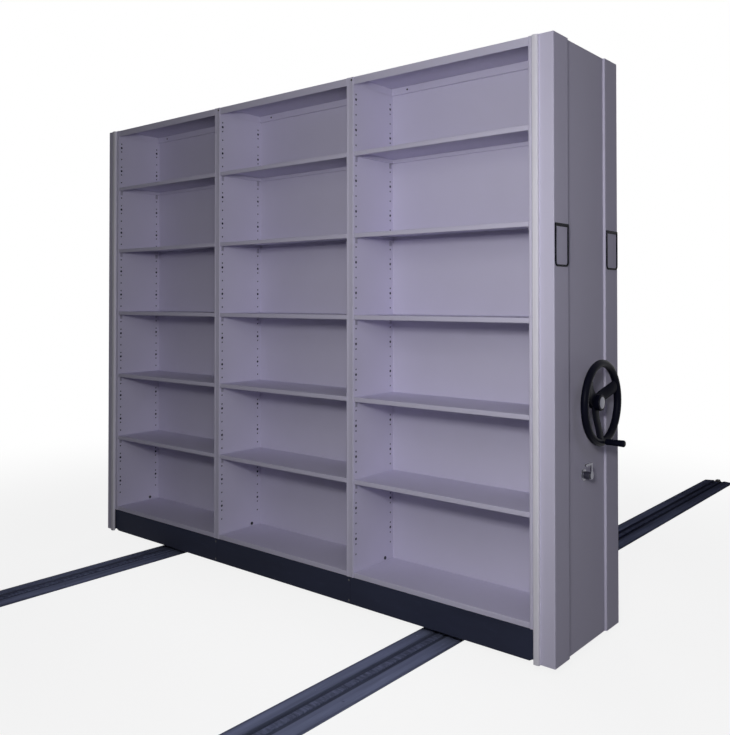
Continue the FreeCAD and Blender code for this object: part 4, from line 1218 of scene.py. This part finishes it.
class SHELVING_OT_hand_wheel(bpy.types.Operator):
    """Build the hand wheel, its hub cap and the crank grip"""

    bl_idname = "shelving.hand_wheel"
    bl_label = "Hand wheel"

    def execute(self, context):
        sizes = context.scene.shelving_sizes
        low, high = box("hand_wheel")
        middle = (low + high) / 2
        rim = sizes.rim_radius
        radius = (high - low)[1] / 2 - rim
        cap_low, cap_high = box("hub_cap")
        plane = cap_low[0] - RIM_SET_BACK
        centre = (plane, middle[1], middle[2])
        back = low[0] - plane
        hub = sizes.hub_radius
        front = cap_low[0] - plane
        bezel = (cap_high - cap_low)[1] / 2
        # From the hub's back, along its cone and wall, over its edge and into the seat of the cap.
        profile = [
            (back, hub * 0.72),
            (back + 0.001, hub * 0.78),
            (back + 0.010, hub * 0.86),
            (back + 0.018, hub * 0.97),
            (back + 0.024, hub),
            (front - 0.004, hub),
            (front - 0.0012, hub - 0.0012),
            (front, hub - 0.004),
            (front, bezel + 0.0005),
            (front - 0.0015, bezel),
        ]
        parts = [ring_tube(centre, radius, rim), turned(profile, centre, sides=WHEEL_SIDES)]
        for turn in np.radians(SPOKE_TURNS):
            parts.append(spoke_shape(centre, radius, back, turn, sizes))
        put("moulded_hand_wheel", merge(parts), plastic(), "hand_wheel", ["hand_wheel"])
        self.build_cap(cap_low, cap_high, middle)
        self.build_grip()
        return {"FINISHED"}

    def build_cap(self, low, high, middle):
        """Cap: a short foot in the hub, then a dome that rises as a sine while its radius falls off."""
        rise = high[0] - low[0]
        radius = (high - low)[1] / 2
        turn = np.linspace(0, 0.47 * np.pi, 8)
        dome = np.column_stack([rise * (0.3 + 0.7 * np.sin(turn)), radius * np.cos(turn) ** 0.8])
        dome = np.vstack([[-0.0015, radius - 0.0003], [0.0, radius - 0.0003], dome])
        cap = turned(dome, (low[0], middle[1], middle[2]), sides=WHEEL_SIDES)
        put("domed_hub_cap", cap, chrome(), "hand_wheel", ["hub_cap"])

    def build_grip(self):
        """Grip: a turned handle that narrows behind its collar and swells to a round end."""
        low, high = box("crank_grip")
        middle = (low + high) / 2
        radius = (high - low)[1] / 2
        span = high[0] - low[0]
        share = np.linspace(0, 1, 14)
        body = radius * (0.92 + 0.08 * share**1.6 - 0.03 * np.sin(np.pi * share))
        handle = np.column_stack([0.004 + share * (span - 0.010), body])
        collar = [(0.0, radius * 0.80), (0.0006, radius * 0.90), (0.0030, radius * 0.90)]
        turn = np.linspace(0.2, 0.47 * np.pi, 6)
        nose = 0.006
        end = np.column_stack([span - nose + nose * np.sin(turn), radius - nose + nose * np.cos(turn)])
        end = np.vstack([end, [span, radius * 0.3]])
        pin_low, pin_high = box("crank_pin")
        bore = (pin_high - pin_low)[1] / 2 * 1.05
        hole = [(0.004, bore), (0.0, bore)]
        profile = np.vstack([hole, collar, handle, end])
        grip = turned(profile, (low[0], middle[1], middle[2]), sides=32)
        put("turned_crank_grip", grip, plastic(), "grip", ["crank_grip"])


def spoke_shape(centre, radius, back, turn, sizes):
    """Spoke: an oval section that narrows and rises from the hub to the rim, carried outwards.

    Across the spoke the half width falls from the hub to the rim; along it the middle line rises
    from the hub's depth to the rim's plane on half a cosine.
    """
    share = np.linspace(0, 1, SPOKE_ROWS)[:, None]
    angle = np.arange(SPOKE_SIDES) * 2 * np.pi / SPOKE_SIDES
    root = sizes.hub_radius * 0.55
    out = root + share * (radius - root)
    half = sizes.spoke_width / 2 * (1.0 - 0.06 * np.sin(np.pi * share * 0.9))
    thick = sizes.spoke_thick / 2
    depth = (back + 0.018) * (0.5 + 0.5 * np.cos(np.pi * np.clip(share * 1.08 - 0.06, 0, 1)))
    across = half * np.sign(np.cos(angle)) * np.abs(np.cos(angle)) ** 0.9
    lift = depth + thick * np.sign(np.sin(angle)) * np.abs(np.sin(angle)) ** 1.3
    y = out * np.cos(turn) - across * np.sin(turn)
    z = out * np.sin(turn) + across * np.cos(turn)
    points = on_axes("xyz", lift, y, z) + np.asarray(centre, float)
    return capped(points, SPOKE_ROWS, SPOKE_SIDES)


class SHELVING_OT_lock(bpy.types.Operator):
    """Build the lock's rosette, barrel and lever"""

    bl_idname = "shelving.lock"
    bl_label = "Lock"

    def execute(self, context):
        low, high = box("lock_barrel")
        middle = (low + high) / 2
        sizes = context.scene.shelving_sizes
        face = box("end_panel_drive")[1][0] - sizes.band_step
        rosette = (high - low)[1] / 2
        barrel = BARREL_RADIUS
        bore = BARREL_BORE
        proud = high[0] - face
        inside = low[0] - face
        # From the mouth over the barrel's edge, down to the rosette's foot, and inside the panel.
        profile = [
            (proud, bore),
            (proud, barrel - 0.0015),
            (proud - 0.0004, barrel - 0.0004),
            (proud - 0.0015, barrel),
            (0.0045, barrel),
            (0.0034, barrel + 0.001),
            (0.0030, barrel + 0.003),
            (0.0026, rosette - 0.0016),
            (0.0018, rosette - 0.0004),
            (0.0008, rosette),
            (0.0, rosette),
            (0.0, barrel),
            (inside, barrel),
            (inside, bore),
        ]
        points, _ = turned(profile, (face, middle[1], middle[2]), sides=BARREL_SIDES)
        shape = (points, [grid_faces(len(profile), BARREL_SIDES, True, True)])
        put("turned_lock_barrel", shape, chrome(), "carriage", ["lock_barrel"])
        self.build_lever(middle)
        return {"FINISHED"}

    def build_lever(self, middle):
        """Lever: an outline of disc, arm and finger bar with round corners, given a thickness."""
        low, high = box("lock_lever")
        arm = 0.0055
        disc = 0.0130
        shoulder = 0.009
        neck = 0.017
        finger = 0.009
        top = high[2] - middle[2]
        under = top - finger
        tip = low[1] - middle[1]
        corners = [
            (-disc, -disc),
            (disc, -disc),
            (disc, shoulder),
            (arm, neck),
            (arm, top),
            (tip, top),
            (tip, under),
            (-arm, under),
            (-arm, neck),
            (-disc, shoulder),
        ]
        radii = [0.0129, 0.0129, 0.006, 0.005, 0.004, 0.0043, 0.0043, 0.004, 0.005, 0.006]
        ring = rounded_line(corners, radii, closed=True, steps=6) + middle[1:]
        plate = prism(ring, (high[0] - LEVER_SHEET, high[0]), "yzx")
        pin = SPINDLE_RADIUS
        profile = [(low[0], pin - 0.0004), (low[0] + CUT_EDGE, pin), (high[0] - 0.003, pin)]
        spindle = turned(profile, (0.0, middle[1], middle[2]))
        shape = merge([plate, spindle])
        lever = put("bevelled_lock_lever", shape, chrome(), "lock", ["lock_lever"])
        edge = lever.modifiers.new("edges", "BEVEL")
        edge.width = LEVER_BEVEL
        edge.segments = 3
        edge.limit_method = "ANGLE"
        edge.angle_limit = math.radians(50)
        lever.modifiers.move(1, 0)


class SHELVING_OT_fasteners(bpy.types.Operator):
    """Build the bolt heads, foot bolts and shelf clips"""

    bl_idname = "shelving.fasteners"
    bl_label = "Fasteners and clips"

    def execute(self, context):
        sizes = context.scene.shelving_sizes
        self.build_heads("upright_top_bolts")
        self.build_heads("kick_bolts")
        low, high = box("foot_bolts")
        radius = (high - low)[2] / 2
        offset = (high - low)[1] / 2 - radius
        height = (high + low)[2] / 2
        spots = [(0.0, -offset, height), (0.0, offset, height)]
        heads = []
        for bay in BAYS:
            start = box(f"upright_{bay}")[1][0]
            end = box(f"upright_{bay + 1}")[0][0]
            for wall, way in ((start, 1), (end, -1)):
                head = dome_head(radius, FOOT_BOLT_PROUD, (wall, 0.0, 0.0), way, "x", 20)
                heads.append(repeated(head, spots))
        put("domed_foot_bolts", merge(heads), bolt_finish(), "carriage", ["foot_bolts"])
        self.build_clips(sizes)
        return {"FINISHED"}

    def build_heads(self, node):
        """Bolt heads at the corners of a node's box, front and rear."""
        low, high = box(node)
        across = (low[0] + BOLT_RADIUS, high[0] - BOLT_RADIUS)
        heights = np.unique(np.round([low[2] + BOLT_RADIUS, high[2] - BOLT_RADIUS], 5))
        spots = [(x, 0.0, z) for x in across for z in heights]
        front = dome_head(BOLT_RADIUS, BOLT_PROUD, (0.0, low[1] + BOLT_PROUD, 0.0), -1)
        heads = merge([repeated(front, spots), repeated(mirrored(front, "y"), spots)])
        put(f"domed_{node}", heads, bolt_finish(), "carriage", [node])

    def build_clips(self, sizes):
        """Clips: a bent strip, leg against the upright and ledge under the shelf, copied along."""
        high = box("shelf_clips")[1]
        tall = sizes.clip_height
        line = rounded_line([(0.0, -tall), (0.0, 0.0), (sizes.clip_reach, 0.0)], CLIP_BEND, steps=3)
        half = sizes.clip_width / 2
        clip = folded(line[::-1], sizes.clip_sheet, (-half, half), "xzy")
        outer = high[1] - half
        inner = sizes.column_inner
        tops = high[2] - sizes.shelf_pitch * np.arange(SHELVES)
        clips = []
        for bay in BAYS:
            start = box(f"upright_{bay}")[1][0]
            end = box(f"upright_{bay + 1}")[0][0]
            spots = [(0.0, y, z) for y in (-outer, -inner, inner, outer) for z in tops]
            left = repeated(clip, np.array(spots) + (start, 0.0, 0.0))
            clips += [left, mirrored(left, "x", (start + end) / 2)]
        put("bent_shelf_clips", merge(clips), zinc(), "carriage", ["shelf_clips"])


class SHELVING_OT_works(bpy.types.Operator):
    """Finish the chassis, running gear and drive, whose own solids are kept"""

    bl_idname = "shelving.works"
    bl_label = "Chassis and drive"

    def execute(self, context):
        chassis = ["wheel_carrier_left", "wheel_carrier_right", "chassis_end_plates", "chassis_cross_plates"]
        wheels = ["drive_wheel_left", "drive_wheel_right", "idle_wheel_left", "idle_wheel_right"]
        plates = ["hand_bearing_plate", "counter_plate", "shaft_bearings", "hand_shaft_bearings", "lock_cam"]
        shafts = ["drive_shaft", "idle_axles", "hand_wheel_shaft", "crank_pin"]
        chains = ["axle_sprocket", "counter_sprockets", "hand_wheel_sprocket", "chain_upper", "chain_lower"]
        moving = shafts + chains
        for nodes, coating in ((chassis, black_coat), (wheels, iron), (plates, zinc), (moving, steel)):
            for node in nodes:
                dress(node, coating())
        return {"FINISHED"}


class SHELVING_OT_stage(bpy.types.Operator):
    """Set the floor, the lights, the surround and the camera"""

    bl_idname = "shelving.stage"
    bl_label = "Stage"

    def execute(self, context):
        stage = context.scene.shelving_stage
        self.lay_floor(context, stage)
        self.light(context, stage)
        self.set_camera(context, stage)
        context.scene.view_settings.view_transform = "Standard"
        return {"FINISHED"}

    def lay_floor(self, context, stage):
        """Flat floor: a grid of four points just under the rails, white to the eye and grey to the light."""
        half = stage.floor_side / 2
        corner = np.array([-half, half])
        points = on_axes("xyz", corner[:, None], corner[None, :], -FLOOR_DROP)
        mesh = bpy.data.meshes.new("floor")
        mesh.from_pydata(points.tolist(), [], [(0, 2, 3, 1)])
        floor = bpy.data.objects.new("floor", mesh)
        context.scene.collection.objects.link(floor)
        material = bpy.data.materials.new("pale_floor")
        material.use_nodes = True
        tree = material.node_tree
        tree.nodes.remove(tree.nodes["Principled BSDF"])
        matt = add(tree, "ShaderNodeBsdfDiffuse", {"Color": FLOOR_BOUNCE})
        pale = add(tree, "ShaderNodeBsdfDiffuse", {"Color": FLOOR_SHADE})
        glow = add(tree, "ShaderNodeEmission", {"Color": WHITE, "Strength": 1.0})
        place = add(tree, "ShaderNodeTexCoord", {}).outputs["Object"]
        away = add(tree, "ShaderNodeVectorMath", {0: place}, operation="LENGTH").outputs["Value"]
        start, end = FLOOR_FADE
        fade = {"Value": away, "From Min": start, "From Max": end, "To Min": FLOOR_GLOW, "To Max": 1.0}
        share = add(tree, "ShaderNodeMapRange", fade, interpolation_type="SMOOTHSTEP").outputs["Result"]
        shown = mix_shaders(tree, share, pale, glow)
        mixed = mix_shaders(tree, seen_directly(tree), matt, shown)
        tree.links.new(mixed.outputs[0], tree.nodes["Material Output"].inputs["Surface"])
        mesh.materials.append(material)

    def light(self, context, stage):
        """Small light by the eye, three soft ones in front, one behind, one above, and a white surround."""
        aim = stage.aim
        behind = (0.0, 0.4, 1.0)
        below = (0.0, 0.0, 0.0)
        lamp("key_light", stage.key_place, aim, [stage.key_size] * 2, stage.key_power)
        size = (stage.tall_size, stage.tall_height)
        lamp("tall_light", stage.tall_place, aim, size, stage.tall_power)
        size = [stage.side_size] * 2
        lamp("side_light", stage.side_place, aim, size, stage.side_power, tint=stage.side_tint)
        lamp("small_light", stage.small_place, aim, [stage.small_size] * 2, stage.small_power)
        size = [stage.rear_size] * 2
        lamp("rear_light", stage.rear_place, behind, size, stage.rear_power, beam=stage.rear_beam)
        size = (stage.top_size, stage.top_depth)
        lamp("top_light", stage.top_place, below, size, stage.top_power, beam=stage.top_beam)
        world = bpy.data.worlds.new("surround")
        world.use_nodes = True
        context.scene.world = world
        tree = world.node_tree
        even = tree.nodes["Background"]
        even.inputs["Color"].default_value = SURROUND_TINT
        even.inputs["Strength"].default_value = stage.ambient
        clear = add(tree, "ShaderNodeBackground", {"Color": WHITE, "Strength": 1.0})
        mixed = mix_shaders(tree, seen_directly(tree), even, clear)
        tree.links.new(mixed.outputs[0], tree.nodes["World Output"].inputs["Surface"])

    def set_camera(self, context, stage):
        """Camera at the photograph's place and angle."""
        view = bpy.data.cameras.new("camera")
        view.sensor_width = 36.0
        view.lens = stage.lens
        view.shift_y = stage.shift
        camera = bpy.data.objects.new("camera", view)
        camera.location = stage.eye
        camera.rotation_euler = (stage.pitch, 0.0, stage.yaw)
        context.scene.collection.objects.link(camera)
        context.scene.camera = camera


def lamp(name, place, target, size, watts, tint=(1.0, 1.0, 1.0), beam=math.pi):
    """Oblong light of a width and a height, turned to a target and unseen by the camera."""
    light = bpy.data.lights.new(name, "AREA")
    light.shape = "RECTANGLE"
    light.size, light.size_y = size
    light.energy = watts
    light.color = tint
    light.spread = beam
    holder = bpy.data.objects.new(name, light)
    holder.location = place
    holder.rotation_euler = (Vector(target) - Vector(place)).to_track_quat("-Z", "Y").to_euler()
    holder.visible_camera = False
    bpy.context.scene.collection.objects.link(holder)


def mix_shaders(tree, share, first, second):
    """Mix of two shaders by a share of the second."""
    mixed = add(tree, "ShaderNodeMixShader", {0: share})
    tree.links.new(first.outputs[0], mixed.inputs[1])
    tree.links.new(second.outputs[0], mixed.inputs[2])
    return mixed


def seen_directly(tree):
    """One for rays from the eye, from a mirror or through glass, otherwise nought."""
    path = add(tree, "ShaderNodeLightPath", {})
    most = path.outputs["Is Camera Ray"]
    for kind in ("Is Glossy Ray", "Is Transmission Ray"):
        most = add(tree, "ShaderNodeMath", {0: most, 1: path.outputs[kind]}, operation="MAXIMUM").outputs[0]
    return most


class SHELVING_PT_panel(bpy.types.Panel):
    """Sizes, colours, stage and the steps that build the carriage"""

    bl_idname = "SHELVING_PT_panel"
    bl_label = "Shelving carriage"
    bl_space_type = "VIEW_3D"
    bl_region_type = "UI"
    bl_category = "Shelving"

    def draw(self, context):
        for step in STEPS:
            self.layout.operator(step.bl_idname)
        scene = context.scene
        for group in (scene.shelving_sizes, scene.shelving_colours, scene.shelving_stage):
            column = self.layout.column()
            for name in group.__annotations__:
                column.prop(group, name)


STEPS = (
    SHELVING_OT_uprights,
    SHELVING_OT_trays,
    SHELVING_OT_top_rails,
    SHELVING_OT_back_panels,
    SHELVING_OT_end_panels,
    SHELVING_OT_kick_beams,
    SHELVING_OT_rails,
    SHELVING_OT_seal_strips,
    SHELVING_OT_card_frames,
    SHELVING_OT_hand_wheel,
    SHELVING_OT_lock,
    SHELVING_OT_fasteners,
    SHELVING_OT_works,
    SHELVING_OT_stage,
)
GROUPS = (ShelvingSizes, ShelvingColours, ShelvingStage)


def register():
    for item in GROUPS + STEPS + (SHELVING_PT_panel,):
        bpy.utils.register_class(item)
    bpy.types.Scene.shelving_sizes = PointerProperty(type=ShelvingSizes)
    bpy.types.Scene.shelving_colours = PointerProperty(type=ShelvingColours)
    bpy.types.Scene.shelving_stage = PointerProperty(type=ShelvingStage)


def unregister():
    del bpy.types.Scene.shelving_stage
    del bpy.types.Scene.shelving_colours
    del bpy.types.Scene.shelving_sizes
    for item in reversed(GROUPS + STEPS + (SHELVING_PT_panel,)):
        bpy.utils.unregister_class(item)


def main():
    """Build every piece in order."""
    register()
    bpy.ops.shelving.uprights()
    bpy.ops.shelving.trays()
    bpy.ops.shelving.top_rails()
    bpy.ops.shelving.back_panels()
    bpy.ops.shelving.end_panels()
    bpy.ops.shelving.kick_beams()
    bpy.ops.shelving.rails()
    bpy.ops.shelving.seal_strips()
    bpy.ops.shelving.card_frames()
    bpy.ops.shelving.hand_wheel()
    bpy.ops.shelving.lock()
    bpy.ops.shelving.fasteners()
    bpy.ops.shelving.works()
    bpy.ops.shelving.stage()


if __name__ == "__main__":
    main()
